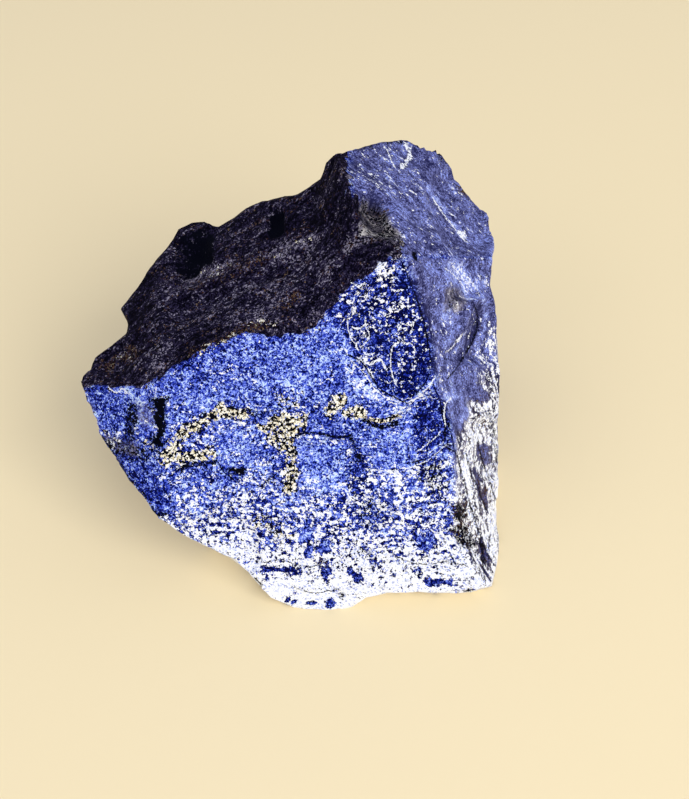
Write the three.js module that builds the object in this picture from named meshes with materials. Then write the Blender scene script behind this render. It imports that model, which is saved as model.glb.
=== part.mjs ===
// A hand specimen of rough lapis lazuli: one broken lump of rock, about as big as a plum.
//
// Lengths are millimetres, +Z is up and the stone rests on the flat facet at Z = 0.
//
// The stone is what is left of a block after a set of cuts. Each cut gives, for any point, how far
// that point lies outside it, so a point is in the stone where every cut gives a negative number.
// Three broken faces meet at a corner near the top: the bright front, the dark top and the right
// flank. They are described on a leaning plane, which faces the front and top of the stone square on.
// The under side and the back are plain breaks, worn by chips and by the edges of the rock's layers.
import * as THREE from 'three';
import { mergeVertices } from 'three/addons/utils/BufferGeometryUtils.js';

// ---------------------------------------------------------------- driving dimensions

// the leaning plane: its tilt from upright, the height of its middle, and how far off its eye point is
const PLANE_TILT = THREE.MathUtils.degToRad(45);
const PLANE_HEIGHT = 23.9;
const EYE_DISTANCE = 140.5;

// the stone's heart, from which every part of the surface can be reached in a straight line
const HEART = new THREE.Vector3(-3, 10, 20);

// the mesh: each of the 20 starting triangles is split this many times along a side
const SPLITS = 21;

// the outline of the stone on the leaning plane, from the left tip over the top and back
const OUTLINE = [
  [-33.6, 3.1], [-31.3, 5.4], [-27.5, 8.3], [-27.4, 9.7], [-28.4, 11.5], [-26.4, 13.9],
  [-24.6, 16.6], [-21.6, 20.2], [-21, 21.5], [-19.3, 22.4], [-17.7, 22.6], [-16.2, 21.8],
  [-15.3, 22.2], [-13.7, 23.1], [-12.4, 24.2], [-10.4, 25], [-6, 25.9], [-2.8, 28],
  [-2.3, 29.9], [-1.2, 30.9], [4.5, 32.6], [7.7, 33.1],
  [10.4, 32.6], [12.1, 31.3], [13.5, 29.3], [13.9, 27.8], [15.9, 26.5], [17.5, 24.6],
  [18.5, 22.5], [18.9, 19.6], [18.3, 14.5], [19.1, 11.7], [19.3, 6], [19.6, 3.1], [19.4, -3.2],
  [19.7, -10.2], [19.8, -14], [19.3, -20.6], [18.5, -23.6], [15.9, -24.4], [5.4, -24.4],
  [2.7, -25.1], [0.7, -26.4], [-1.6, -27], [-5, -26.9], [-9.4, -25], [-12.2, -21.8],
  [-14.2, -20.1], [-20.3, -17.2], [-24, -14.6], [-27.4, -10.2], [-29.3, -7.2], [-32, -2.7],
  [-32.9, 0.8],
];

// where the front meets the dark top face: how high the edge runs, from left to right
const TOP_EDGE = [
  [-31.5, 1.5], [-28.4, 1.5], [-25.3, 2], [-22.7, 3.1], [-20.8, 4.7], [-18.9, 6], [-14.5, 7.8],
  [-12.5, 8.8], [-10.4, 8.3], [-6.1, 8.4], [-4.4, 8.9], [-2.8, 10.1], [-0.4, 13.4],
  [2.6, 15.8], [5.3, 17.7], [7.7, 17.9],
];

// where the front meets the right flank: how far right the edge runs, from the bottom up
const RIGHT_EDGE = [
  [-23.9, 18.2], [-22.2, 17.2], [-19.7, 15.5], [-16.5, 14.6], [-12.7, 14.2], [-5.8, 14.1],
  [-3.9, 13.6], [-1.3, 12.8], [1.2, 11.8], [7.5, 10.6], [12.8, 9.2], [17.9, 7.7],
];

// how steeply the faces fall away behind those edges, as depth per millimetre on the plane
const FRONT_RISE = 0.176;
const FRONT_END_FALL = 0.5;
const FRONT_END = -23.4;
const TOP_FALL = [[-33, 0.9], [-27, 1.15], [-16, 1.15], [-4, 0.85], [0.8, 0.2], [7.7, 0.2]];
const FLANK_FALL = [[-24, 1.9], [-17, 2.2], [-6, 2], [8, 1.5], [17.9, 1.15]];
const CORNER = [7.7, 17.9];

// above that corner is the shoulder, which falls away more: the two meet in a soft bend, of this
// half width, that runs down a little to the right
const SHOULDER_FALL = 1.35;
const SHOULDER_TILT = 0.2;
const SHOULDER_BEND = 3.5;
const TOP_STEEPNESS = 1.1;
const FLANK_STEEPNESS = 1.8;

// the dark edge wanders about this straight line, and the top face forgets that within a few millimetres
const TOP_EDGE_TREND = [[-33, 0.5], [7.7, 17.9]];
const TOP_EDGE_REACH = 3.5;

// the front curls under along its foot
const FOOT_START = -20;
const FOOT_CURL = 0.028;

// the breaks on the hidden sides: the way each faces, and a point that it goes through
const BREAK_OUTSET = 1.2;
const BREAKS = [
  { name: 'under left', facing: [-0.78, 0, -0.63], through: [-36.4, 5.3, 22.6] },
  { name: 'under front', facing: [-0.55, -0.5, -0.67], through: [-25.2, -9.4, 10.8] },
  { name: 'left', facing: [-0.894, 0.342, -0.288], through: [-35.6, 5.3, 23.5] },
  { name: 'left back', facing: [-0.524, 0.8, -0.286], through: [-21, 32.4, 28.9] },
  { name: 'back', facing: [-0.2, 0.95, -0.24], through: [8.4, 39.3, 37.6] },
  { name: 'back foot', facing: [-0.25, 0.72, -0.65], through: [-4, 32, 12] },
  { name: 'right back', facing: [0.75, 0.62, -0.15], through: [24.5, 29.6, 27.3] },
  { name: 'right', facing: [0.948, 0.204, -0.243], through: [22, 3.9, 10.2] },
];

// chips on the named faces: hollows where a flake came away. Each has its rim on the leaning plane,
// the depth of its floor below the face, and how much deeper the floor gets per millimetre across
const FRONT_CHIPS = [
  {
    name: 'upper scar',
    rim: [
      [0.1, 10.3], [1.7, 13.2], [4.7, 16.4], [7.6, 18.6], [11, 14.5], [12.6, 9.4], [13.6, 4],
      [9.6, 1.5], [6.4, -0.3], [3.2, 3.1], [0.7, 6.9],
    ],
    depth: 1.1,
    slant: [0.05, -0.06],
  },
  {
    name: 'lower scar',
    rim: [
      [6.4, -1.3], [9.3, 0.9], [12.1, 1.8], [15.4, 0.6], [16.8, -3.9], [15.4, -6.6], [10.2, -7.9],
      [7, -7], [5.8, -3.9],
    ],
    depth: 0.9,
    slant: [0.05, 0.1],
  },
  {
    name: 'slab',
    rim: [[-5.6, -5.1], [0.1, -4.6], [1.7, -5.1], [0.9, -10.2], [-2.5, -10.8], [-5.6, -8.9]],
    depth: 0.5,
    slant: [0, 0.06],
  },
  {
    name: 'left facet',
    rim: [[-36, 1.2], [-27.4, 1.4], [-26.8, -2.6], [-27.2, -6.6], [-29.4, -9.4], [-35, -5]],
    depth: 0.8,
    slant: [-0.05, 0],
  },
  {
    name: 'left gap',
    rim: [[-25.2, 0.8], [-22.8, 0], [-23, -5.8], [-24.8, -6.3]],
    depth: 1.2,
    slant: [0, 0],
  },
  {
    name: 'foot scoop',
    rim: [[-20.4, -14.6], [-15, -13.4], [-10.8, -16.4], [-10.4, -20.4], [-13, -24], [-22, -20]],
    depth: 0.8,
    slant: [-0.03, -0.05],
  },
  {
    name: 'foot notch',
    rim: [[13.4, -15.6], [15.4, -13.8], [17, -19.6], [14.6, -21.2]],
    depth: 0.9,
    slant: [0.1, 0],
  },
];
const TOP_CHIPS = [
  {
    name: 'left recess',
    rim: [
      [-21.4, 19.8], [-19.6, 21.2], [-17, 20.9], [-16.4, 17.4], [-18.3, 14.1], [-21.1, 14.5],
      [-22, 17.4],
    ],
    depth: 1.8,
    slant: [0, 0.08],
  },
  {
    name: 'middle recess',
    rim: [[-10, 24], [-7.4, 24], [-7.4, 20.4], [-9.6, 20.1]],
    depth: 1.3,
    slant: [0, 0],
  },
  {
    name: 'long ledge',
    rim: [
      [-23.5, 8.6], [-19.6, 9], [-12, 13.4], [-4.5, 16.2], [-4, 18.8], [-9, 17.8], [-14, 16.2],
      [-22.5, 12],
    ],
    depth: 0.7,
    slant: [0, -0.03],
  },
  {
    name: 'tip chip',
    rim: [[-31.6, 3.4], [-28, 3.2], [-26, 5.6], [-28.2, 7.6], [-31, 5.8]],
    depth: 0.9,
    slant: [-0.05, 0],
  },
];
const FLANK_CHIPS = [
  {
    name: 'corner hollow',
    rim: [[0.4, 24.8], [2, 20.2], [4, 18.9], [6.6, 20.8], [6.3, 24.4], [3.5, 26.2]],
    depth: 1.9,
    slant: [0, -0.1],
  },
  {
    name: 'shoulder scoop',
    rim: [[9.6, 26.5], [12.9, 29.8], [18.9, 25.4], [19.6, 18.9], [14, 17.9], [10.8, 21.5]],
    depth: 0.8,
    slant: [0.1, 0],
  },
  {
    name: 'flank facet',
    rim: [[12.6, 17.6], [20.5, 17.6], [20.5, 12.9], [13.2, 12.4]],
    depth: 0.8,
    slant: [0.08, 0],
  },
  {
    name: 'flank scoop',
    rim: [[12.1, 6.1], [14, 6.9], [15.9, 11.1], [18, 12.6], [21, 11], [21, 5], [14.6, 3.8]],
    depth: 1.2,
    slant: [0, 0.05],
  },
  {
    name: 'low flank facet',
    rim: [[15.4, -2], [21.4, -2.2], [21.4, -9.2], [16.5, -10.6]],
    depth: 0.8,
    slant: [0.05, 0],
  },
];

// a chip's wall rises this much per millimetre in from the rim, and the rim wanders by this much,
// over this width; each chip takes a slice of the noise of its own
const CHIP_WALL = 0.9;
const CHIP_RIM_WANDER = 0.6;
const CHIP_RIM_WIDTH = 1.9;
const CHIP_RIM_SLICE = 9;

// large hollows on the hidden sides, as ball-shaped bites
const BACK_BITES = [
  { name: 'back scoop', middle: [-6, 46.5, 15], radius: 15 },
  { name: 'back shoulder', middle: [7, 54, 30], radius: 16.5 },
  { name: 'left hollow', middle: [-40, 24, 11], radius: 14 },
  { name: 'right hollow', middle: [36.5, 21, 12], radius: 15.5 },
  { name: 'under hollow', middle: [-31, -5, 1], radius: 12 },
];

// the rock's layers lie parallel to the front, and their edges stand in and out on the broken faces.
// Each layer has a tread, and beyond this share of it a riser that leads to the next one. The layers
// wander by this share of their thickness, and their edges fade and grow along their length.
const LAYER_THICKNESS = 3.1;
const LAYER_STEP = 0.55;
const RISER_START = 0.72;
const LAYER_WANDER = 0.45;
const LAYER_WANDER_WIDTH = 14;
const LAYER_WANDER_SLICE = 3;
const LAYER_STRENGTH = 0.7;
const LAYER_FADE = 0.6;
const LAYER_FADE_WIDTH = 11;

// the relief on each kind of surface: soft swells, shell-like chips, and how strong the layers are
const RELIEF = {
  none: {},
  rim: { swellWidth: 3, swellHeight: 0.16 },
  front: { swellWidth: 9, swellHeight: 0.28, shellSize: 3.4, shellHeight: 0.25 },
  top: { swellWidth: 8, swellHeight: 0.35, shellSize: 4.6, shellHeight: 0.5, layers: 0.8 },
  flank: { swellWidth: 8, swellHeight: 0.35, shellSize: 6.1, shellHeight: 0.6, layers: 0.4 },
  hidden: { swellWidth: 8, swellHeight: 0.6, shellSize: 8.3, shellHeight: 2.2, layers: 1.3 },
};
const DEEPEST_RELIEF = 3.2;

// a swell has a finer one on it, and a shell's rim stands out as far as its middle is worn in
const FINER_SWELL = 2.1;
const FINER_SWELL_SHARE = 0.5;
const SHELL_MEAN = 0.45;

// ---------------------------------------------------------------- small tools

// Value at x on the straight lines between the points of a list, level beyond its ends.
function along(points, x) {
  if (x <= points[0][0]) return points[0][1];
  for (let i = 1; i < points.length; i += 1) {
    const [x0, y0] = points[i - 1];
    const [x1, y1] = points[i];
    if (x <= x1) return y0 + ((y1 - y0) * (x - x0)) / (x1 - x0);
  }
  return points[points.length - 1][1];
}

// A fixed number from 0 to 1 for each cell of a lattice, the same in every run. The salt makes the
// numbers for one use differ from those for another.
const MIXERS = [127.1, 311.7, 74.7, 53.3];
const MIX_SPREAD = 43758.5453;
const SALT = { noise: 0, shellX: 1, shellY: 2, shellZ: 3, layer: 4 };
function cellValue(i, j, k, salt) {
  const angle = i * MIXERS[0] + j * MIXERS[1] + k * MIXERS[2] + salt * MIXERS[3];
  const mixed = Math.sin(angle) * MIX_SPREAD;
  return mixed - Math.floor(mixed);
}

// Smooth noise from -1 to 1: fixed values at the corners of a lattice, blended in between.
function noise(x, y, z) {
  const base = [x, y, z].map(Math.floor);
  const [u, v, w] = [x, y, z].map((value, axis) => THREE.MathUtils.smoothstep(value - base[axis], 0, 1));
  let sum = 0;
  for (let corner = 0; corner < 8; corner += 1) {
    const [a, b, c] = [corner & 1, (corner >> 1) & 1, corner >> 2];
    const weight = (a ? u : 1 - u) * (b ? v : 1 - v) * (c ? w : 1 - w);
    sum += weight * cellValue(base[0] + a, base[1] + b, base[2] + c, SALT.noise);
  }
  return 2 * sum - 1;
}

// Distance on the leaning plane from a point to a closed line, negative inside it.
function outsideLine(line, x, y) {
  let nearest = Infinity;
  let inside = false;
  for (let i = 0, j = line.length - 1; i < line.length; j = i, i += 1) {
    const [ax, ay] = line[j];
    const [bx, by] = line[i];
    const length = (bx - ax) ** 2 + (by - ay) ** 2;
    const t = THREE.MathUtils.clamp(((x - ax) * (bx - ax) + (y - ay) * (by - ay)) / length, 0, 1);
    nearest = Math.min(nearest, Math.hypot(x - ax - t * (bx - ax), y - ay - t * (by - ay)));
    const crosses = by > y !== ay > y && x < ((ax - bx) * (y - by)) / (ay - by) + bx;
    if (crosses) inside = !inside;
  }
  return inside ? -nearest : nearest;
}

// ---------------------------------------------------------------- the leaning plane

const planeTurn = new THREE.Matrix4().makeRotationX(PLANE_TILT);
const planeTurnBack = planeTurn.clone().invert();

// A point's place on the leaning plane, seen from the eye point, and its depth in front of the plane.
function onPlane(point) {
  const local = new THREE.Vector3(point.x, point.y, point.z - PLANE_HEIGHT).applyMatrix4(planeTurnBack);
  const scale = EYE_DISTANCE / (EYE_DISTANCE - local.z);
  return { x: local.x * scale, y: local.y * scale, depth: local.z, scale };
}

// The point in space that has this place and this depth.
function offPlane(x, y, depth) {
  const scale = EYE_DISTANCE / (EYE_DISTANCE - depth);
  const point = new THREE.Vector3(x / scale, y / scale, depth).applyMatrix4(planeTurn);
  point.z += PLANE_HEIGHT;
  return point;
}

// ---------------------------------------------------------------- the three named faces

function frontDepth(x, y) {
  const end = FRONT_END_FALL * Math.max(0, FRONT_END - x);
  const foot = FOOT_CURL * Math.max(0, FOOT_START - y) ** 2;
  return FRONT_RISE * y - end - foot;
}

function topDepth(x, y) {
  const trend = along(TOP_EDGE_TREND, x);
  const wander = along(TOP_EDGE, x) - trend;
  const beyond = Math.max(0, y - trend - wander);
  const edge = trend + wander * Math.exp(-beyond / TOP_EDGE_REACH);
  return frontDepth(x, edge) - along(TOP_FALL, x) * (y - edge);
}

// How far a point is up on the shoulder, rounded off over the bend.
function upShoulder(x, y) {
  const up = y - CORNER[1] + SHOULDER_TILT * Math.max(0, x - CORNER[0]);
  if (Math.abs(up) > SHOULDER_BEND) return Math.max(0, up);
  return (up + SHOULDER_BEND) ** 2 / (4 * SHOULDER_BEND);
}

function flankDepth(x, y) {
  const edge = along(RIGHT_EDGE, y);
  const start = frontDepth(edge, Math.min(y, CORNER[1]));
  return start - along(FLANK_FALL, y) * (x - edge) - SHOULDER_FALL * upShoulder(x, y);
}

// ---------------------------------------------------------------- surface relief

// Soft swells, of about this width and height.
function swell(point, width, height) {
  const broad = noise(point.x / width, point.y / width, point.z / width);
  const finer = width / FINER_SWELL;
  const narrow = noise(point.x / finer, point.y / finer, point.z / finer);
  return height * (broad + FINER_SWELL_SHARE * narrow);
}

// Shell-like chips: each lattice cell has one hollow, and neighbours meet at a sharp rim. The zone
// names the hollow, so that the mesh can follow the rims.
function shells(point, size, height) {
  const cell = [point.x, point.y, point.z].map((value) => Math.floor(value / size));
  let nearest = Infinity;
  let zone = '';
  for (let i = cell[0] - 1; i <= cell[0] + 1; i += 1) {
    for (let j = cell[1] - 1; j <= cell[1] + 1; j += 1) {
      for (let k = cell[2] - 1; k <= cell[2] + 1; k += 1) {
        const du = point.x / size - i - cellValue(i, j, k, SALT.shellX);
        const dv = point.y / size - j - cellValue(i, j, k, SALT.shellY);
        const dw = point.z / size - k - cellValue(i, j, k, SALT.shellZ);
        const away = du * du + dv * dv + dw * dw;
        if (away < nearest) {
          nearest = away;
          zone = `shell ${i} ${j} ${k}`;
        }
      }
    }
  }
  return { worn: height * (SHELL_MEAN - nearest), zone };
}

// The layers' edges: each layer stands a little in or out, and fades along its length. The zone tells
// the tread of a layer from the riser that leads to the next.
const layerFacing = new THREE.Vector3(0, -FRONT_RISE, 1).normalize().applyMatrix4(planeTurn);
function layers(point, strength) {
  const [across, over] = [point.x / LAYER_WANDER_WIDTH, point.y / LAYER_WANDER_WIDTH];
  const wander = LAYER_WANDER * noise(across, over, LAYER_WANDER_SLICE);
  const level = point.dot(layerFacing) / LAYER_THICKNESS + wander;
  const layer = Math.floor(level);
  const part = level - layer < RISER_START ? 'tread' : 'riser';
  const climb = Math.max(0, level - layer - RISER_START) / (1 - RISER_START);
  const here = 2 * cellValue(layer, 0, 0, SALT.layer) - 1;
  const next = 2 * cellValue(layer + 1, 0, 0, SALT.layer) - 1;
  const faded = point.clone().divideScalar(LAYER_FADE_WIDTH);
  const local = strength * (LAYER_STRENGTH + LAYER_FADE * noise(faded.x, faded.y, faded.z));
  return { worn: LAYER_STEP * local * (here + (next - here) * climb), zone: `${part} ${layer}` };
}

// The relief of one kind of surface at a point, as millimetres that it is worn back, and its zone.
function reliefAt(kind, point) {
  const { swellWidth, swellHeight, shellSize, shellHeight, layers: strength } = RELIEF[kind];
  const shell = shellSize ? shells(point, shellSize, shellHeight) : { worn: 0, zone: '' };
  const layer = strength ? layers(point, strength) : { worn: 0, zone: '' };
  const swelling = swellWidth ? swell(point, swellWidth, swellHeight) : 0;
  const zone = strength ? `${shell.zone} ${layer.zone}` : '';
  return { worn: swelling + shell.worn + layer.worn, zone };
}

// ---------------------------------------------------------------- the cuts

// A face given by its depth on the leaning plane. The steeper it falls, the less of that is distance.
function faceCut(name, depthAt, steepness, relief) {
  const share = 1 / Math.hypot(1, steepness);
  return { name, relief, outside: (point, seen) => share * (seen.depth - depthAt(seen.x, seen.y)) };
}

function breakCut({ name, facing, through }) {
  const normal = new THREE.Vector3(...facing).normalize();
  const plane = new THREE.Plane().setFromNormalAndCoplanarPoint(normal, new THREE.Vector3(...through));
  return { name, relief: 'hidden', outside: (point) => plane.distanceToPoint(point) - BREAK_OUTSET };
}

// A ball-shaped bite: outside the stone wherever a point is inside the ball.
function biteCut({ name, middle, radius }) {
  const centre = new THREE.Vector3(...middle);
  return { name, relief: 'hidden', outside: (point) => radius - point.distanceTo(centre) };
}

// A chip on one of the named faces: its floor is let into the face, with a slanting wall at the rim.
function chipCut({ name, rim, depth, slant }, depthAt, steepness, relief) {
  const [startX, startY] = rim[0];
  const reach = new THREE.Box2().setFromPoints(rim.map((corner) => new THREE.Vector2(...corner)));
  reach.expandByScalar(CHIP_RIM_WANDER);
  const place = new THREE.Vector2();
  const floorAt = (x, y) => depth + slant[0] * (x - startX) + slant[1] * (y - startY);
  const wallAt = (x, y) => {
    const wander = CHIP_RIM_WANDER * noise(x / CHIP_RIM_WIDTH, y / CHIP_RIM_WIDTH, depth * CHIP_RIM_SLICE);
    return CHIP_WALL * (wander - outsideLine(rim, x, y));
  };
  const chipped = (x, y) => {
    if (!reach.containsPoint(place.set(x, y))) return Infinity;
    return depthAt(x, y) - Math.hypot(1, steepness) * Math.min(floorAt(x, y), wallAt(x, y));
  };
  const part = ({ x, y }) => (floorAt(x, y) < wallAt(x, y) ? 'floor' : 'wall');
  return { ...faceCut(name, chipped, steepness, relief), part };
}

const outlineCut = {
  name: 'outline',
  relief: 'rim',
  outside: (point, seen) => outsideLine(OUTLINE, seen.x, seen.y) / seen.scale,
};
const restCut = { name: 'rest', relief: 'none', outside: (point) => -point.z };

const cuts = [
  faceCut('front', frontDepth, FRONT_RISE, 'front'),
  faceCut('top', topDepth, TOP_STEEPNESS, 'top'),
  faceCut('flank', flankDepth, FLANK_STEEPNESS, 'flank'),
  outlineCut,
  restCut,
  ...BREAKS.map(breakCut),
  ...FRONT_CHIPS.map((chip) => chipCut(chip, frontDepth, FRONT_RISE, 'front')),
  ...TOP_CHIPS.map((chip) => chipCut(chip, topDepth, TOP_STEEPNESS, 'top')),
  ...FLANK_CHIPS.map((chip) => chipCut(chip, flankDepth, FLANK_STEEPNESS, 'flank')),
  ...BACK_BITES.map(biteCut),
];

// How far a point is outside the stone, and which side bounds the stone there: the cut, the part of
// it and the zone of its relief. The relief is worked out only near the surface, once for each kind.
function outsideStone(point) {
  const seen = onPlane(point);
  const plain = cuts.map((cut) => cut.outside(point, seen));
  const plainest = Math.max(...plain);
  if (plainest < -DEEPEST_RELIEF) return { distance: plainest, side: 'deep inside' };
  const reliefs = {};
  let distance = -Infinity;
  let bounding = cuts[0];
  cuts.forEach((cut, index) => {
    if (plain[index] < plainest - DEEPEST_RELIEF) return;
    reliefs[cut.relief] ??= reliefAt(cut.relief, point);
    const outside = plain[index] + reliefs[cut.relief].worn;
    if (outside > distance) {
      distance = outside;
      bounding = cut;
    }
  });
  const part = bounding.part ? bounding.part(seen) : '';
  return { distance, bounding, side: `${bounding.name} ${part} ${reliefs[bounding.relief].zone}` };
}

// ---------------------------------------------------------------- from the cuts to a closed surface

// the search for the surface: its strides, as a share of the distance still to go, how often the last
// one is halved, and how far short of a known place it starts
const STRIDE = 0.5;
const SHORTEST_STRIDE = 0.5;
const HALVINGS = 11;
const BACK_OFF = 2.5;

// the search for a ridge between two neighbours: how often it halves, and how close a ridge must be,
// as a share of the way, for a point to move onto it
const RIDGE_HALVINGS = 5;
const RIDGE_REACH = 0.5;

// the corners of the starting ball that are closer than this are one corner
const SAME_CORNER = 1e-5;

// The surface point in one direction from the heart: step out to the first way out, then home in.
// Where the surface is known nearby, the search starts a little short of that.
function surfaceAt(direction, known = 0) {
  const at = (away) => HEART.clone().addScaledVector(direction, away);
  let inside = Math.max(0, known - BACK_OFF);
  if (outsideStone(at(inside)).distance >= 0) inside = 0;
  let stride = SHORTEST_STRIDE;
  for (;;) {
    const { distance } = outsideStone(at(inside + stride));
    if (distance >= 0) break;
    inside += stride;
    stride = Math.max(SHORTEST_STRIDE, -STRIDE * distance);
  }
  let outside = inside + stride;
  for (let i = 0; i < HALVINGS; i += 1) {
    const middle = (inside + outside) / 2;
    if (outsideStone(at(middle)).distance < 0) inside = middle;
    else outside = middle;
  }
  const point = at(inside);
  const { side, bounding } = outsideStone(at(outside));
  if (bounding === restCut) point.z = 0;
  return { direction, point, side, away: inside };
}

// The place between two neighbours at which the surface passes from one side to the other.
function ridgeBetween(from, to) {
  let low = 0;
  let high = 1;
  const mixed = (share) => {
    const direction = from.direction.clone().lerp(to.direction, share).normalize();
    return surfaceAt(direction, Math.min(from.away, to.away));
  };
  for (let i = 0; i < RIDGE_HALVINGS; i += 1) {
    const middle = (low + high) / 2;
    if (mixed(middle).side === from.side) low = middle;
    else high = middle;
  }
  return { share: high, found: mixed(high) };
}

// Moves each point that has a ridge close by onto that ridge, so that the stone's edges stay sharp.
function sharpen(samples, neighbours) {
  return samples.map((sample, index) => {
    let best = { share: RIDGE_REACH, found: sample };
    for (const other of neighbours[index]) {
      if (samples[other].side === sample.side) continue;
      const ridge = ridgeBetween(sample, samples[other]);
      if (ridge.share < best.share) best = ridge;
    }
    return best.found;
  });
}

function neighbourLists(geometry) {
  const lists = Array.from({ length: geometry.attributes.position.count }, () => new Set());
  const corners = geometry.index.array;
  for (let i = 0; i < corners.length; i += 3) {
    for (let j = 0; j < 3; j += 1) {
      lists[corners[i + j]].add(corners[i + ((j + 1) % 3)]);
      lists[corners[i + j]].add(corners[i + ((j + 2) % 3)]);
    }
  }
  return lists;
}

function stoneGeometry() {
  const ball = new THREE.IcosahedronGeometry(1, SPLITS - 1);
  ball.deleteAttribute('normal');
  ball.deleteAttribute('uv');
  const geometry = mergeVertices(ball, SAME_CORNER);
  const position = geometry.attributes.position;
  const samples = [];
  for (let i = 0; i < position.count; i += 1) {
    samples.push(surfaceAt(new THREE.Vector3().fromBufferAttribute(position, i).normalize()));
  }
  sharpen(samples, neighbourLists(geometry)).forEach(({ point }, index) => {
    position.setXYZ(index, point.x, point.y, point.z);
  });
  geometry.computeBoundingBox();
  const middle = geometry.boundingBox.getCenter(new THREE.Vector3());
  geometry.translate(-middle.x, -middle.y, 0);
  geometry.computeVertexNormals();
  return geometry;
}

// ---------------------------------------------------------------- the stone

const lapis = new THREE.MeshStandardMaterial({ color: 0x2c41a6, roughness: 0.6, metalness: 0 });

const stone = new THREE.Mesh(stoneGeometry(), lapis);
stone.name = 'lapis_stone';

const group = new THREE.Group();
group.add(stone);

export default group;
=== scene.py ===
"""A hand specimen of rough lapis lazuli, given its fine surface and its minerals.

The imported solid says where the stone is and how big. The surface made here follows the same broken
faces more finely and rides where the solid does. Lengths are millimetres until a mesh, lamp or
camera is made, which Blender holds in metres.
"""

from __future__ import annotations

import logging
import math
from collections.abc import Callable, Sequence
from dataclasses import dataclass, field
from enum import Enum
from itertools import product
from typing import Any, ClassVar

import bmesh
import bpy
import numpy as np
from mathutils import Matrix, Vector

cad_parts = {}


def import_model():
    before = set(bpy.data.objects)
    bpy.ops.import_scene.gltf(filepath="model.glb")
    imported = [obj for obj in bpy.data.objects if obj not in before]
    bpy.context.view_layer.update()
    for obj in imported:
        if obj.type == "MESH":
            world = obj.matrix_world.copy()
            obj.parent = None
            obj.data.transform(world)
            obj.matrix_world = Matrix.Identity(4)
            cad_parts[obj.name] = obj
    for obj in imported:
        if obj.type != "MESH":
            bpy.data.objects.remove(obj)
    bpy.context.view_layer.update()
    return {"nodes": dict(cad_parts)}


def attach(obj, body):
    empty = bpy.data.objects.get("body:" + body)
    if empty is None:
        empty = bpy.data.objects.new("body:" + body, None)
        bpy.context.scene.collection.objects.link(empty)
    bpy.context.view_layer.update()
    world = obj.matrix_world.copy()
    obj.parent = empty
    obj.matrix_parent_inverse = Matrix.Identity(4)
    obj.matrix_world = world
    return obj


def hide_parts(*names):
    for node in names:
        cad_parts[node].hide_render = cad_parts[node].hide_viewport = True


log = logging.getLogger("lapis")

Array = np.ndarray
Line = Sequence[tuple[float, float]]
Span = tuple[float, float]
Parts = Sequence[tuple[float, float]]
Stops = Sequence[tuple[float, str]]
Source = Any
Node = bpy.types.Node

MM = 0.001
NODE = "lapis_stone"

# the part's origin is under the middle of its box, and the shapes are measured from this point
SHAPE_ORIGIN = (6.265, -12.3327, 0.0)


# ---------------- lines, noise and other tools

# the fixed numbers that scatter a lattice's cells
MIXERS = (127.1, 311.7, 74.7, 53.3)
MIX_SPREAD = 43758.5453


class Salt(Enum):
    """What a lattice's numbers are for, so that those for one use differ from another's."""

    NOISE = 0
    SHELL_X = 1
    SHELL_Y = 2
    SHELL_Z = 3
    LAYER = 4


def along(line: Line, x: Array) -> Array:
    """Value at x on the straight lines between the points of a list, level beyond its ends."""
    places, values = zip(*line)
    return np.interp(x, places, values)


def to_segments(line: Line, x: Array, y: Array, closed: bool) -> tuple[Array, Array]:
    """Measures points against a line of straight segments.

    Args:
        line: The corners of the line.
        x: Each point's place across.
        y: Each point's place up.
        closed: Whether the last corner joins the first.

    Returns:
        The distance of each point to the line, and whether the point is inside it.
    """
    nearest = np.full(x.shape, np.inf)
    inside = np.zeros(x.shape, bool)
    starts = line if closed else line[1:]
    ends = (line[-1], *line[:-1]) if closed else line[:-1]
    for (bx, by), (ax, ay) in zip(starts, ends):
        length = (bx - ax) ** 2 + (by - ay) ** 2
        share = np.clip(((x - ax) * (bx - ax) + (y - ay) * (by - ay)) / length, 0, 1)
        away = np.hypot(x - ax - share * (bx - ax), y - ay - share * (by - ay))
        nearest = np.minimum(nearest, away)
        if by != ay:
            crossing = (ax - bx) * (y - by) / (ay - by) + bx
            inside ^= ((by > y) != (ay > y)) & (x < crossing)
    return nearest, inside


def outside_line(line: Line, x: Array, y: Array) -> Array:
    """Distance from points to a closed line, negative inside it."""
    nearest, inside = to_segments(line, x, y, closed=True)
    return np.where(inside, -nearest, nearest)


def cell_value(i: Array, j: Array, k: Array, salt: Salt) -> Array:
    """Gives each cell of a lattice a fixed number, the same in every run.

    Args:
        i: Each cell's number along the first axis.
        j: Its number along the second.
        k: Its number along the third.
        salt: What the numbers are for.

    Returns:
        A number from 0 to 1 for each cell.
    """
    angle = i * MIXERS[0] + j * MIXERS[1] + k * MIXERS[2] + salt.value * MIXERS[3]
    mixed = np.sin(angle) * MIX_SPREAD
    return mixed - np.floor(mixed)


def noise(points: Array) -> Array:
    """Smooth noise, from fixed values at the corners of a unit lattice.

    Args:
        points: Points in space.

    Returns:
        A number from -1 to 1 at each point.
    """
    base = np.floor(points)
    share = points - base
    share = share * share * (3 - 2 * share)
    total = np.zeros(len(points))
    for corner in product((0, 1), repeat=3):
        weight = np.ones(len(points))
        for axis, side in enumerate(corner):
            weight *= share[:, axis] if side else 1 - share[:, axis]
        cell = base + corner
        total += weight * cell_value(*cell.T, Salt.NOISE)
    return 2 * total - 1


def mottle(points: Array, parts: Parts) -> Array:
    """Adds up noise, whose parts each have a weight and a size in millimetres."""
    return sum(weight * noise(points / size) for weight, size in parts)


def into_scene(name: str, data: bpy.types.ID) -> bpy.types.Object:
    """Makes an object and links it to the scene.

    Args:
        name: The object's name.
        data: Its mesh, light or camera.

    Returns:
        The object.
    """
    thing = bpy.data.objects.new(name, data)
    bpy.context.scene.collection.objects.link(thing)
    return thing


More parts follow.
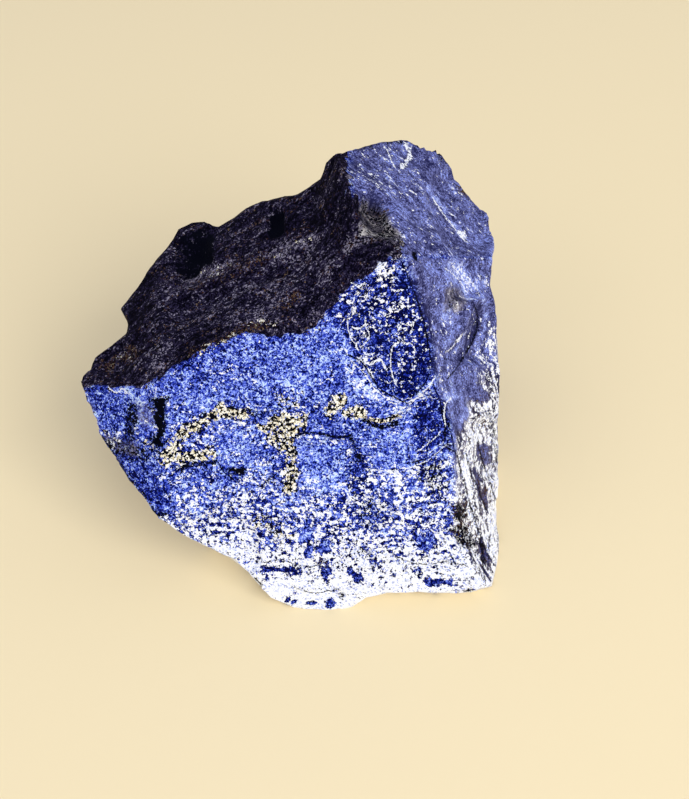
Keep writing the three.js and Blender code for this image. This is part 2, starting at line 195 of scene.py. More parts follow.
def curve(line: Line, steps: int = 6) -> Line:
    """Rounds a line.

    Args:
        line: The points that the curve goes through.
        steps: How many steps it takes from each to the next.

    Returns:
        The curve, as short straight steps.
    """
    points = np.array(line, float)
    padded = np.concatenate([points[:1], points, points[-1:]])
    shares = np.linspace(0, 1, steps, endpoint=False)[:, None]
    rounded = []
    for a, b, c, d in zip(padded, padded[1:], padded[2:], padded[3:]):
        bend = 2 * a - 5 * b + 4 * c - d + shares * (3 * (b - c) + d - a)
        rounded.extend(b + shares * (c - a + shares * bend) / 2)
    return [*rounded, points[-1]]


def smooth(low: float, high: float, value: Array) -> Array:
    """Rises smoothly from 0 at the low value to 1 at the high one."""
    share = np.clip((value - low) / (high - low), 0, 1)
    return share * share * (3 - 2 * share)


# ---------------- the leaning plane


@dataclass(frozen=True)
class LeaningPlane:
    """The plane that faces the front and top of the stone, on which those faces are drawn."""

    tilt: float = math.radians(45)
    height: float = 23.9
    eye_distance: float = 140.5

    def along_plane(self, points: Array) -> Array:
        """Turns points or directions from the upright frame into the plane's own.

        Args:
            points: Points or directions in space.

        Returns:
            The same in the plane's frame.
        """
        cosine, sine = math.cos(self.tilt), math.sin(self.tilt)
        x, y, z = points.T
        return np.stack([x, cosine * y + sine * z, cosine * z - sine * y], axis=1)

    def seen(self, points: Array) -> tuple[Array, Array, Array, Array]:
        """Where points are seen on the plane from its eye point.

        Args:
            points: Points in space.

        Returns:
            The place across, the place up, the depth in front of the plane and the scale.
        """
        local = self.along_plane(points - (0, 0, self.height))
        scale = self.eye_distance / (self.eye_distance - local[:, 2])
        return local[:, 0] * scale, local[:, 1] * scale, local[:, 2], scale


PLANE = LeaningPlane()


# ---------------- relief


@dataclass(frozen=True)
class Layers:
    """The rock's layers, parallel to the front, whose edges stand in and out on the other faces."""

    rise: float = 0.176
    thickness: float = 3.1
    step: float = 0.55
    riser_start: float = 0.72
    wander: float = 0.45
    wander_width: float = 14.0
    wander_slice: float = 3.0
    strength: float = 0.7
    fade: float = 0.6
    fade_width: float = 11.0

    def facing(self) -> Array:
        """Works out the way that the layers face.

        Returns:
            A direction in space.
        """
        local = np.array([0, -self.rise, 1]) / math.hypot(1, self.rise)
        cosine, sine = math.cos(PLANE.tilt), math.sin(PLANE.tilt)
        x, y, z = local
        return np.array([x, cosine * y - sine * z, sine * y + cosine * z])

    def worn(self, points: Array, strength: float) -> Array:
        """Works out how far the layers' edges are worn back.

        Args:
            points: Points in space.
            strength: How strongly the layers show.

        Returns:
            The depth at each point.
        """
        bend = points / self.wander_width
        bend[:, 2] = self.wander_slice
        level = points @ self.facing() / self.thickness + self.wander * noise(bend)
        layer = np.floor(level)
        climb = np.maximum(0, level - layer - self.riser_start) / (1 - self.riser_start)
        here = 2 * cell_value(layer, 0, 0, Salt.LAYER) - 1
        there = 2 * cell_value(layer + 1, 0, 0, Salt.LAYER) - 1
        local = strength * (self.strength + self.fade * noise(points / self.fade_width))
        return self.step * local * (here + (there - here) * climb)


LAYERS = Layers()
LEAVES = Layers(thickness=0.95, step=0.16, riser_start=0.6)
FINER_SWELL = 2.1
FINER_SWELL_SHARE = 0.5
SHELL_MEAN = 0.45
SHELL_SALTS = (Salt.SHELL_X, Salt.SHELL_Y, Salt.SHELL_Z)


@dataclass(frozen=True)
class Relief:
    """The relief of one kind of surface: soft swells, shell-like chips and the edges of layers."""

    swell_width: float = 8.0
    swell_height: float = 0.0
    shell_size: float = 0.0
    shell_height: float = 0.0
    layer_strength: float = 0.0
    layers: Layers = LAYERS

    def worn(self, points: Array) -> Array:
        """Works out how far the surface is worn back.

        Args:
            points: Points in space.

        Returns:
            The depth at each point.
        """
        total = np.zeros(len(points))
        if self.swell_height:
            broad = noise(points / self.swell_width)
            narrow = noise(FINER_SWELL * points / self.swell_width)
            total += self.swell_height * (broad + FINER_SWELL_SHARE * narrow)
        if self.shell_height:
            total += self.shell_height * (SHELL_MEAN - self.nearest_shell(points))
        if self.layer_strength:
            total += self.layers.worn(points, self.layer_strength)
        return total

    def nearest_shell(self, points: Array) -> Array:
        """Measures how far it is to the middle of the nearest shell.

        Args:
            points: Points in space.

        Returns:
            The squared distance, in shell sizes.
        """
        scaled = points / self.shell_size
        cell = np.floor(scaled)
        nearest = np.full(len(points), np.inf)
        for step in product((-1, 0, 1), repeat=3):
            near = (cell + step).T
            away = np.zeros(len(points))
            for axis, salt in enumerate(SHELL_SALTS):
                away += (scaled[:, axis] - near[axis] - cell_value(*near, salt)) ** 2
            nearest = np.minimum(nearest, away)
        return nearest


class Side(Enum):
    """The kinds of surface that the stone has."""

    FRONT = 0
    TOP = 1
    FLANK = 2
    RIM = 3
    HIDDEN = 4
    REST = 5


# the relief that the solid has too, and the finer relief that only this surface has
RELIEF = {
    Side.FRONT: Relief(swell_width=9, swell_height=0.28, shell_size=3.4, shell_height=0.25),
    Side.TOP: Relief(swell_height=0.35, shell_size=4.6, shell_height=0.5, layer_strength=0.8),
    Side.FLANK: Relief(swell_height=0.35, shell_size=6.1, shell_height=0.6, layer_strength=0.4),
    Side.RIM: Relief(swell_width=3, swell_height=0.16),
    Side.HIDDEN: Relief(swell_height=0.6, shell_size=8.3, shell_height=2.2, layer_strength=1.3),
    Side.REST: Relief(),
}
FINE_RELIEF = {
    Side.FRONT: Relief(swell_width=1.3, swell_height=0.05, shell_size=1.7, shell_height=0.16),
    Side.TOP: Relief(
        swell_width=1.2, swell_height=0.09, shell_size=1.5, shell_height=0.22, layer_strength=0.5,
        layers=LEAVES,
    ),
    Side.FLANK: Relief(
        swell_width=1.8, swell_height=0.06, shell_size=2.3, shell_height=0.22, layer_strength=0.7,
        layers=LEAVES,
    ),
    Side.RIM: Relief(swell_width=1.2, swell_height=0.05),
    Side.HIDDEN: Relief(
        swell_width=1.5, swell_height=0.08, shell_size=2.2, shell_height=0.35, layer_strength=0.9,
        layers=LEAVES,
    ),
    Side.REST: Relief(),
}


# ---------------- the cuts that shape the stone


@dataclass(frozen=True)
class Face:
    """One of the three faces drawn on the leaning plane.

    Attributes:
        side: The kind of surface that it is.
        steepness: How steeply it falls away, as depth per millimetre on the plane.
    """

    side: Side
    steepness: float

    def slope(self) -> float:
        """Depth on the plane for each millimetre square to the face."""
        return math.hypot(1, self.steepness)


@dataclass(frozen=True)
class Break:
    """A plain break on a hidden side: the way it faces, and a point that it goes through."""

    name: str
    facing: tuple[float, float, float]
    through: tuple[float, float, float]


@dataclass(frozen=True)
class Bite:
    """A ball-shaped hollow on a hidden side."""

    name: str
    middle: tuple[float, float, float]
    radius: float


@dataclass(frozen=True)
class Chip:
    """A hollow where a flake came away from one of the drawn faces.

    Attributes:
        name: What it is called.
        face: The face that it is in.
        depth: The depth of its floor at the first corner of its rim.
        slant: How much deeper the floor gets per millimetre across and up.
        rim: Its rim on the leaning plane.
    """

    name: str
    face: Face
    depth: float
    slant: tuple[float, float]
    rim: Line


FRONT = Face(Side.FRONT, 0.176)
TOP = Face(Side.TOP, 1.1)
FLANK = Face(Side.FLANK, 1.8)

OUTLINE: Line = (
    (-33.6, 3.1), (-31.3, 5.4), (-27.5, 8.3), (-27.4, 9.7), (-28.4, 11.5), (-26.4, 13.9),
    (-24.6, 16.6), (-21.6, 20.2), (-21, 21.5), (-19.3, 22.4), (-17.7, 22.6), (-16.2, 21.8),
    (-15.3, 22.2), (-13.7, 23.1), (-12.4, 24.2), (-10.4, 25), (-6, 25.9), (-2.8, 28),
    (-2.3, 29.9), (-1.2, 30.9), (4.5, 32.6), (7.7, 33.1),
    (10.4, 32.6), (12.1, 31.3), (13.5, 29.3), (13.9, 27.8), (15.9, 26.5), (17.5, 24.6),
    (18.5, 22.5), (18.9, 19.6), (18.3, 14.5), (19.1, 11.7), (19.3, 6), (19.6, 3.1), (19.4, -3.2),
    (19.7, -10.2), (19.8, -14), (19.3, -20.6), (18.5, -23.6), (15.9, -24.4), (5.4, -24.4),
    (2.7, -25.1), (0.7, -26.4), (-1.6, -27), (-5, -26.9), (-9.4, -25), (-12.2, -21.8),
    (-14.2, -20.1), (-20.3, -17.2), (-24, -14.6), (-27.4, -10.2), (-29.3, -7.2), (-32, -2.7),
    (-32.9, 0.8),
)
TOP_EDGE: Line = (
    (-31.5, 1.5), (-28.4, 1.5), (-25.3, 2), (-22.7, 3.1), (-20.8, 4.7), (-18.9, 6), (-14.5, 7.8),
    (-12.5, 8.8), (-10.4, 8.3), (-6.1, 8.4), (-4.4, 8.9), (-2.8, 10.1), (-0.4, 13.4),
    (2.6, 15.8), (5.3, 17.7), (7.7, 17.9),
)
RIGHT_EDGE: Line = (
    (-23.9, 18.2), (-22.2, 17.2), (-19.7, 15.5), (-16.5, 14.6), (-12.7, 14.2), (-5.8, 14.1),
    (-3.9, 13.6), (-1.3, 12.8), (1.2, 11.8), (7.5, 10.6), (12.8, 9.2), (17.9, 7.7),
)
TOP_FALL: Line = ((-33, 0.9), (-27, 1.15), (-16, 1.15), (-4, 0.85), (0.8, 0.2), (7.7, 0.2))
FLANK_FALL: Line = ((-24, 1.9), (-17, 2.2), (-6, 2), (8, 1.5), (17.9, 1.15))
CORNER = (7.7, 17.9)
SHOULDER_FALL = 1.35
SHOULDER_TILT = 0.2
SHOULDER_BEND = 3.5
TOP_EDGE_TREND: Line = ((-33, 0.5), CORNER)
TOP_EDGE_REACH = 3.5
FRONT_END = -23.4
FRONT_END_FALL = 0.5
FOOT_START = -20.0
FOOT_CURL = 0.028

BREAK_OUTSET = 1.2
BREAKS = (
    Break("under left", (-0.78, 0, -0.63), (-36.4, 5.3, 22.6)),
    Break("under front", (-0.55, -0.5, -0.67), (-25.2, -9.4, 10.8)),
    Break("left", (-0.894, 0.342, -0.288), (-35.6, 5.3, 23.5)),
    Break("left back", (-0.524, 0.8, -0.286), (-21, 32.4, 28.9)),
    Break("back", (-0.2, 0.95, -0.24), (8.4, 39.3, 37.6)),
    Break("back foot", (-0.25, 0.72, -0.65), (-4, 32, 12)),
    Break("right back", (0.75, 0.62, -0.15), (24.5, 29.6, 27.3)),
    Break("right", (0.948, 0.204, -0.243), (22, 3.9, 10.2)),
)
BITES = (
    Bite("back scoop", (-6, 46.5, 15), 15),
    Bite("back shoulder", (7, 54, 30), 16.5),
    Bite("left hollow", (-40, 24, 11), 14),
    Bite("right hollow", (36.5, 21, 12), 15.5),
    Bite("under hollow", (-31, -5, 1), 12),
)
CHIP_WALL = 0.9
CHIP_RIM_WANDER = 0.6
CHIP_RIM_WIDTH = 1.9
CHIP_RIM_SLICE = 9.0
CHIPS = (
    Chip("upper scar", FRONT, 1.1, (0.05, -0.06), (
        (0.1, 10.3), (1.7, 13.2), (4.7, 16.4), (7.6, 18.6), (11, 14.5), (12.6, 9.4), (13.6, 4),
        (9.6, 1.5), (6.4, -0.3), (3.2, 3.1), (0.7, 6.9),
    )),
    Chip("lower scar", FRONT, 0.9, (0.05, 0.1), (
        (6.4, -1.3), (9.3, 0.9), (12.1, 1.8), (15.4, 0.6), (16.8, -3.9), (15.4, -6.6),
        (10.2, -7.9), (7, -7), (5.8, -3.9),
    )),
    Chip("slab", FRONT, 0.5, (0, 0.06), (
        (-5.6, -5.1), (0.1, -4.6), (1.7, -5.1), (0.9, -10.2), (-2.5, -10.8), (-5.6, -8.9),
    )),
    Chip("left facet", FRONT, 0.8, (-0.05, 0), (
        (-36, 1.2), (-27.4, 1.4), (-26.8, -2.6), (-27.2, -6.6), (-29.4, -9.4), (-35, -5),
    )),
    Chip("left gap", FRONT, 1.2, (0, 0), ((-25.2, 0.8), (-22.8, 0), (-23, -5.8), (-24.8, -6.3))),
    Chip("foot scoop", FRONT, 0.8, (-0.03, -0.05), (
        (-20.4, -14.6), (-15, -13.4), (-10.8, -16.4), (-10.4, -20.4), (-13, -24), (-22, -20),
    )),
    Chip("foot notch", FRONT, 0.9, (0.1, 0), (
        (13.4, -15.6), (15.4, -13.8), (17, -19.6), (14.6, -21.2),
    )),
    Chip("left recess", TOP, 1.8, (0, 0.08), (
        (-21.4, 19.8), (-19.6, 21.2), (-17, 20.9), (-16.4, 17.4), (-18.3, 14.1), (-21.1, 14.5),
        (-22, 17.4),
    )),
    Chip("middle recess", TOP, 1.3, (0, 0), ((-10, 24), (-7.4, 24), (-7.4, 20.4), (-9.6, 20.1))),
    Chip("long ledge", TOP, 0.7, (0, -0.03), (
        (-23.5, 8.6), (-19.6, 9), (-12, 13.4), (-4.5, 16.2), (-4, 18.8), (-9, 17.8),
        (-14, 16.2), (-22.5, 12),
    )),
    Chip("tip chip", TOP, 0.9, (-0.05, 0), (
        (-31.6, 3.4), (-28, 3.2), (-26, 5.6), (-28.2, 7.6), (-31, 5.8),
    )),
    Chip("corner hollow", FLANK, 1.9, (0, -0.1), (
        (0.4, 24.8), (2, 20.2), (4, 18.9), (6.6, 20.8), (6.3, 24.4), (3.5, 26.2),
    )),
    Chip("shoulder scoop", FLANK, 0.8, (0.1, 0), (
        (9.6, 26.5), (12.9, 29.8), (18.9, 25.4), (19.6, 18.9), (14, 17.9), (10.8, 21.5),
    )),
    Chip("flank facet", FLANK, 0.8, (0.08, 0), (
        (12.6, 17.6), (20.5, 17.6), (20.5, 12.9), (13.2, 12.4),
    )),
    Chip("flank scoop", FLANK, 1.2, (0, 0.05), (
        (12.1, 6.1), (14, 6.9), (15.9, 11.1), (18, 12.6), (21, 11), (21, 5), (14.6, 3.8),
    )),
    Chip("low flank facet", FLANK, 0.8, (0.05, 0), (
        (15.4, -2), (21.4, -2.2), (21.4, -9.2), (16.5, -10.6),
    )),
)


def front_depth(x: Array, y: Array) -> Array:
    """Depth of the front face on the leaning plane.

    Args:
        x: Each point's place across the leaning plane.
        y: Each point's place up the leaning plane.

    Returns:
        The depth at each point.
    """
    end = FRONT_END_FALL * np.maximum(0, FRONT_END - x)
    foot = FOOT_CURL * np.maximum(0, FOOT_START - y) ** 2
    return FRONT.steepness * y - end - foot


def top_depth(x: Array, y: Array) -> Array:
    """Depth of the dark top face on the leaning plane.

    Args:
        x: Each point's place across the leaning plane.
        y: Each point's place up the leaning plane.

    Returns:
        The depth at each point.
    """
    trend = along(TOP_EDGE_TREND, x)
    wander = along(TOP_EDGE, x) - trend
    beyond = np.maximum(0, y - trend - wander)
    edge = trend + wander * np.exp(-beyond / TOP_EDGE_REACH)
    return front_depth(x, edge) - along(TOP_FALL, x) * (y - edge)


def flank_depth(x: Array, y: Array) -> Array:
    """Depth of the right flank, with its shoulder above the corner, on the leaning plane.

    Args:
        x: Each point's place across the leaning plane.
        y: Each point's place up the leaning plane.

    Returns:
        The depth at each point.
    """
    corner_x, corner_y = CORNER
    up = y - corner_y + SHOULDER_TILT * np.maximum(0, x - corner_x)
    bend = (up + SHOULDER_BEND) ** 2 / (4 * SHOULDER_BEND)
    shoulder = np.where(np.abs(up) > SHOULDER_BEND, np.maximum(0, up), bend)
    edge = along(RIGHT_EDGE, y)
    start = front_depth(edge, np.minimum(y, corner_y))
    return start - along(FLANK_FALL, y) * (x - edge) - SHOULDER_FALL * shoulder


DEPTHS: dict[Side, Callable[[Array, Array], Array]] = {
    Side.FRONT: front_depth,
    Side.TOP: top_depth,
    Side.FLANK: flank_depth,
}


class StoneForm:
    """The stone as what its cuts leave of a block: a point is in it where every cut is negative."""

    def plain_cuts(self, points: Array) -> Array:
        """How far points lie outside the cuts of each kind, before the relief.

        Args:
            points: Points in space.

        Returns:
            One row for each kind of surface, in the order of Side.
        """
        x, y, depth, scale = PLANE.seen(points)
        rows = np.full((len(Side), len(points)), -np.inf)
        for face in (FRONT, TOP, FLANK):
            rows[face.side.value] = (depth - DEPTHS[face.side](x, y)) / face.slope()
        for chip in CHIPS:
            row = rows[chip.face.side.value]
            np.maximum(row, self.chip_cut(chip, x, y, depth), out=row)
        rows[Side.RIM.value] = outside_line(OUTLINE, x, y) / scale
        hidden = rows[Side.HIDDEN.value]
        for plane in BREAKS:
            facing = np.array(plane.facing) / np.linalg.norm(plane.facing)
            np.maximum(hidden, (points - plane.through) @ facing - BREAK_OUTSET, out=hidden)
        for bite in BITES:
            away = np.linalg.norm(points - bite.middle, axis=1)
            np.maximum(hidden, bite.radius - away, out=hidden)
        rows[Side.REST.value] = -points[:, 2]
        return rows

    def chip_cut(self, chip: Chip, x: Array, y: Array, depth: Array) -> Array:
        """How far points lie outside a chip's floor and wall.

        Args:
            chip: The chip.
            x: Each point's place across the leaning plane.
            y: Each point's place up the leaning plane.
            depth: Each point's depth in front of the leaning plane.

        Returns:
            The distance outside, and minus infinity where the chip doesn't reach.
        """
        low, high = np.min(chip.rim, axis=0), np.max(chip.rim, axis=0)
        reach = (x >= low[0] - CHIP_RIM_WANDER) & (x <= high[0] + CHIP_RIM_WANDER)
        reach &= (y >= low[1] - CHIP_RIM_WANDER) & (y <= high[1] + CHIP_RIM_WANDER)
        outside = np.full(len(x), -np.inf)
        x, y = x[reach], y[reach]
        start_x, start_y = chip.rim[0]
        floor = chip.depth + chip.slant[0] * (x - start_x) + chip.slant[1] * (y - start_y)
        piece = np.full(len(x), chip.depth * CHIP_RIM_SLICE)
        place = np.stack([x / CHIP_RIM_WIDTH, y / CHIP_RIM_WIDTH, piece], axis=1)
        wall = CHIP_WALL * (CHIP_RIM_WANDER * noise(place) - outside_line(chip.rim, x, y))
        face = chip.face
        cut = DEPTHS[face.side](x, y) - face.slope() * np.minimum(floor, wall)
        outside[reach] = (depth[reach] - cut) / face.slope()
        return outside

    def outside(self, points: Array) -> tuple[Array, Array]:
        """How far points are outside the stone.

        Args:
            points: Points in space.

        Returns:
            The distance outside, negative inside, and the kind of surface that bounds the stone
            there, as the number of its Side.
        """
        rows = self.plain_cuts(points)
        for side, relief in RELIEF.items():
            rows[side.value] += relief.worn(points)
        return rows.max(axis=0), rows.argmax(axis=0)


# ---------------- the fine surface


@dataclass
class StoneSurface:
    """The stone's fine mesh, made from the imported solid's own.

    Attributes:
        heart: The point from which every part of the surface is reached in a straight line.
        splits: How many times each triangle is split in four.
        search: How far on either side of the solid the surface is looked for.
        halvings: How many times the search is halved.
        weld: The distance under which the solid's corners are one.
        crease: The angle above which an edge is drawn sharp.
        most_raised: How far the finer relief may stand out.
    """

    heart: tuple[float, float, float] = (-3, 10, 20)
    splits: int = 2
    search: float = 1.5
    halvings: int = 10
    weld: float = 0.01
    crease: float = math.radians(38)
    most_raised: float = 0.1
    points: Array = field(init=False)
    normals: Array = field(init=False)
    sides: Array = field(init=False)
    triangles: Array = field(init=False)

    def build(self, solid: bpy.types.Object, form: StoneForm) -> None:
        """Works out the surface.

        Args:
            solid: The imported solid.
            form: The shape that the surface follows.
        """
        points, self.triangles = self.read_solid(solid)
        for _ in range(self.splits):
            points, self.triangles = self.split(points, self.triangles)
        self.points, self.sides = self.settle(points, form)
        self.normals = self.find_normals()
        self.roughen()

    def read_solid(self, solid: bpy.types.Object) -> tuple[Array, Array]:
        """Reads the solid's mesh.

        Args:
            solid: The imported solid.

        Returns:
            Its corners, measured from the shapes' origin, and its triangles.
        """
        mesh = bmesh.new()
        mesh.from_mesh(solid.data)
        bmesh.ops.remove_doubles(mesh, verts=mesh.verts, dist=self.weld * MM)
        points = np.array([corner.co for corner in mesh.verts]) / MM - SHAPE_ORIGIN
        triangles = np.array([[corner.index for corner in face.verts] for face in mesh.faces])
        mesh.free()
        return points, triangles

    def split(self, points: Array, triangles: Array) -> tuple[Array, Array]:
        """Splits each triangle in four at the middles of its sides.

        Args:
            points: The corners.
            triangles: The triangles.

        Returns:
            The corners and triangles after the split.
        """
        sides = np.sort(triangles[:, [[0, 1], [1, 2], [2, 0]]].reshape(-1, 2), axis=1)
        pairs, which = np.unique(sides, axis=0, return_inverse=True)
        middles = len(points) + which.reshape(-1, 3)
        a, b, c = triangles.T
        ab, bc, ca = middles.T
        corners = [(a, ab, ca), (b, bc, ab), (c, ca, bc), (ab, bc, ca)]
        split = np.concatenate([np.stack(corner, axis=1) for corner in corners])
        return np.concatenate([points, points[pairs].mean(axis=1)]), split

    def settle(self, points: Array, form: StoneForm) -> tuple[Array, Array]:
        """Moves points in or out from the heart until they are on the surface.

        Args:
            points: Points near the surface.
            form: The shape that the surface follows.

        Returns:
            The moved points, and the kind of surface at each.
        """
        away = points - self.heart
        distance = np.linalg.norm(away, axis=1)
        direction = away / distance[:, None]
        inner, outer = distance - self.search, distance + self.search
        for _ in range(self.halvings):
            middle = (inner + outer) / 2
            outside, _ = form.outside(self.heart + direction * middle[:, None])
            inner = np.where(outside < 0, middle, inner)
            outer = np.where(outside < 0, outer, middle)
        _, sides = form.outside(self.heart + direction * outer[:, None])
        settled = self.heart + direction * inner[:, None]
        settled[sides == Side.REST.value, 2] = 0
        return settled, sides

    def find_normals(self) -> Array:
        """Works out which way the surface faces.

        Returns:
            A direction at each point.
        """
        corners = self.points[self.triangles]
        faces = np.cross(corners[:, 1] - corners[:, 0], corners[:, 2] - corners[:, 0])
        normals = np.zeros_like(self.points)
        for corner in range(3):
            np.add.at(normals, self.triangles[:, corner], faces)
        return normals / np.linalg.norm(normals, axis=1)[:, None]

    def roughen(self) -> None:
        """Wears the finer relief into the surface, which leaves the flat rest as it is."""
        worn = np.zeros(len(self.points))
        for side, relief in FINE_RELIEF.items():
            here = self.sides == side.value
            worn[here] = relief.worn(self.points[here])
        self.wear(worn)

    def wear(self, depth: Array) -> None:
        """Wears the surface back, and leaves the flat rest as it is.

        Args:
            depth: The depth at each point.
        """
        depth = np.where(self.points[:, 2] > 0, np.maximum(depth, -self.most_raised), 0)
        self.points = self.points - self.normals * depth[:, None]
        self.points[:, 2] = np.maximum(self.points[:, 2], 0)

    def to_object(self, name: str) -> bpy.types.Object:
        """Makes the Blender object.

        Args:
            name: The object's name.

        Returns:
            The object, linked to the scene.
        """
        mesh = bpy.data.meshes.new(name)
        points = (self.points + SHAPE_ORIGIN) * MM
        mesh.from_pydata(points.tolist(), [], self.triangles.tolist())
        mesh.shade_smooth()
        mesh.set_sharp_from_angle(angle=self.crease)
        return into_scene(name, mesh)


# ---------------- where the minerals are


class Stain(Enum):
    """What a marking adds. The value names the mesh attribute that holds how much there is."""

    CALCITE = "calcite"
    PYRITE = "pyrite"
    DARK = "dark"
    PALE = "pale"
    DEEP = "deep"
    RUST = "rust"
    EARTH = "earth"
    LAPIS = "lump"
    CRUST = "crust"
    SLATE = "slate"
    VEIN_AND_GLINT = "vein"
    CRACK_AND_RIDGE_SHADE = "crack"


@dataclass(frozen=True)
class Mark:
    """A marking on the leaning plane.

    Attributes:
        name: What it is called.
        width: Half the width of a streak, or the width of a patch's soft rim.
        strength: How much of the stain there is in it.
        line: The corners of the streak or of the patch's rim.
        fade: The shares of the width between which it fades away.
    """

    name: str
    width: float
    strength: float
    line: Line
    fade: ClassVar[Span]

    def away(self, x: Array, y: Array) -> Array:
        """How far away from it each point is."""
        raise NotImplementedError

    def amount(self, x: Array, y: Array) -> Array:
        """How much of the stain there is at each point."""
        full, none = (share * self.width for share in self.fade)
        return self.strength * (1 - smooth(full, none, self.away(x, y)))


class Streak(Mark):
    """A marking along a line."""

    fade = (0.4, 1.4)

    def away(self, x: Array, y: Array) -> Array:
        """How far each point is from the line."""
        return to_segments(self.line, x, y, closed=False)[0]


class Patch(Mark):
    """A marking inside a rim."""

    fade = (-0.5, 1.0)

    def away(self, x: Array, y: Array) -> Array:
        """How far each point is outside the rim, negative inside it."""
        return outside_line(self.line, x, y)


@dataclass(frozen=True)
class Hairline:
    """A line along a curve on the leaning plane: mostly cracks, filled with calcite or open, and a
    few painted shadows and highlights.

    The mesh holds how far each point is to one side of it, so that the material can draw it finer
    than the mesh.

    Attributes:
        name: What it is called.
        width: Its half width.
        line: The points that its curve goes through.
        reach: How far from it the mesh knows of it.
        fade: How far beyond its ends it fades away.
    """

    name: str
    width: float
    line: Line
    reach: float = 0.8
    fade: float = 0.25

    def measure(self, x: Array, y: Array) -> tuple[Array, Array, Array]:
        """Measures points against the hairline.

        Args:
            x: Each point's place across the leaning plane.
            y: Each point's place up the leaning plane.

        Returns:
            How far each point is from it, how far to the left of it, and the half width to draw,
            which is 0 away from it.
        """
        nearest = np.full(x.shape, np.inf)
        offset = np.zeros(x.shape)
        ended = np.zeros(x.shape, bool)
        corners = curve(self.line)
        last = len(corners) - 2
        for number, ((ax, ay), (bx, by)) in enumerate(zip(corners, corners[1:])):
            along_x, along_y = bx - ax, by - ay
            run = ((x - ax) * along_x + (y - ay) * along_y) / (along_x**2 + along_y**2)
            share = np.clip(run, 0, 1)
            away = np.hypot(x - ax - share * along_x, y - ay - share * along_y)
            closer = away < nearest
            side = np.where(along_x * (y - ay) > along_y * (x - ax), 1, -1)
            offset = np.where(closer, side * away, offset)
            beyond = (run < 0) & (number == 0) | (run > 1) & (number == last)
            ended = np.where(closer, beyond, ended)
            nearest = np.minimum(nearest, away)
        width = self.width * (1 - smooth(self.reach / 2, self.reach, nearest))
        width *= np.where(ended, 1 - smooth(0, self.fade, nearest), 1)
        return nearest, offset, width


Marks = tuple[Mark, ...]

# where calcite is thick: the crumbs in the scars, the salt and the foot
CALCITE: Marks = (
    Patch("scar top crumbs", 0.4, 0.5, [
        (3.7, 17.4), (5.3, 17.9), (6.3, 16.9), (5.9, 14.6), (4.9, 13.9), (4.1, 15.1),
    ]),
    Streak("scar left crumbs", 0.6, 0.45, [(-0.8, 13.6), (0.2, 12.8), (1.2, 11.1)]),
    Patch("scar salt", 0.5, 0.22, [
        (0.1, 12.6), (4.5, 16.4), (8, 14.5), (10.6, 8.8), (10.2, 3.7), (7.5, 0.6), (3.5, 3.1),
        (0.7, 6.9),
    ]),
    Patch("rim band", 0.6, 0.36, [
        (-0.4, 5.8), (2, 3.2), (4, 1.2), (7.7, -0.4), (10.1, 0.7), (11.2, 2), (11.3, 0.8),
        (8.8, -1.5), (6, -2.1), (3.2, -1.1), (0.9, 2),
    ]),
    Patch("under rim salt", 0.8, 0.4, [
        (2.7, -8.9), (9.6, -8.7), (11.6, -7), (13.4, -5.1), (13.6, -12.7), (12.1, -16.5),
        (4.5, -15.3), (2, -11.5),
    ]),
    Patch("wedge salt", 0.8, 0.37, [
        (-1.8, -12), (2.7, -8.9), (4.5, -15.3), (0.1, -15.3), (-5.6, -15.3), (-9.4, -14.2),
    ]),
    Patch("left salt", 1, 0.24, [
        (-23.4, -6.4), (-18.3, -8.9), (-13.2, -10.2), (-9.4, -12.7), (-14.5, -16.5), (-19.6, -14.6),
        (-23.4, -10.8),
    ]),
    Patch("cluster salt", 0.9, 0.22, [
        (-22.6, -3.9), (-18.3, -1.3), (-12, -0.7), (-4.4, -0.1), (-4.4, -5.1), (-7.5, -7.7),
        (-15.1, -3.9), (-18.3, -8.3), (-22.1, -8.3),
    ]),
    Streak("flank fleck", 0.3, 0.95, [(14.4, 21.5), (14.9, 21.1)]),
    Patch("upper foot", 1, 0.45, [
        (-10.4, -16), (-1.8, -15), (13.4, -14.5), (13.6, -18.5), (-10.4, -18.8),
    ]),
    Patch("left specks", 0.4, 0.36, [(-30.9, -3.9), (-28.9, -4.1), (-27.9, -5.3), (-29.9, -5.5)]),
    Streak("hook", 0.2, 0.6, [(7.7, 32.5), (8.2, 31.3), (8, 30.3), (7.3, 29.4)]),
    Patch("shoulder scratches", 1, 0.14, [(2.2, 29.1), (7, 29.1), (9.6, 25.3), (4.5, 25.3)]),
    Patch("flank upper foot", 0.8, 0.4, [
        (17.4, 6), (18.7, 10.3), (19.7, 7.5), (19.9, -2.6), (18.2, -2.6), (16.9, 2),
    ]),
    Patch("flank foot", 0.9, 0.56, [
        (17.9, 3.5), (19.7, 5), (19.9, -8.9), (19.4, -24.1), (17.9, -24.9), (16.4, -20.3),
        (15, -15.3), (14.1, -8.9), (15.1, -3.9), (16.4, -0.6),
    ]),
)

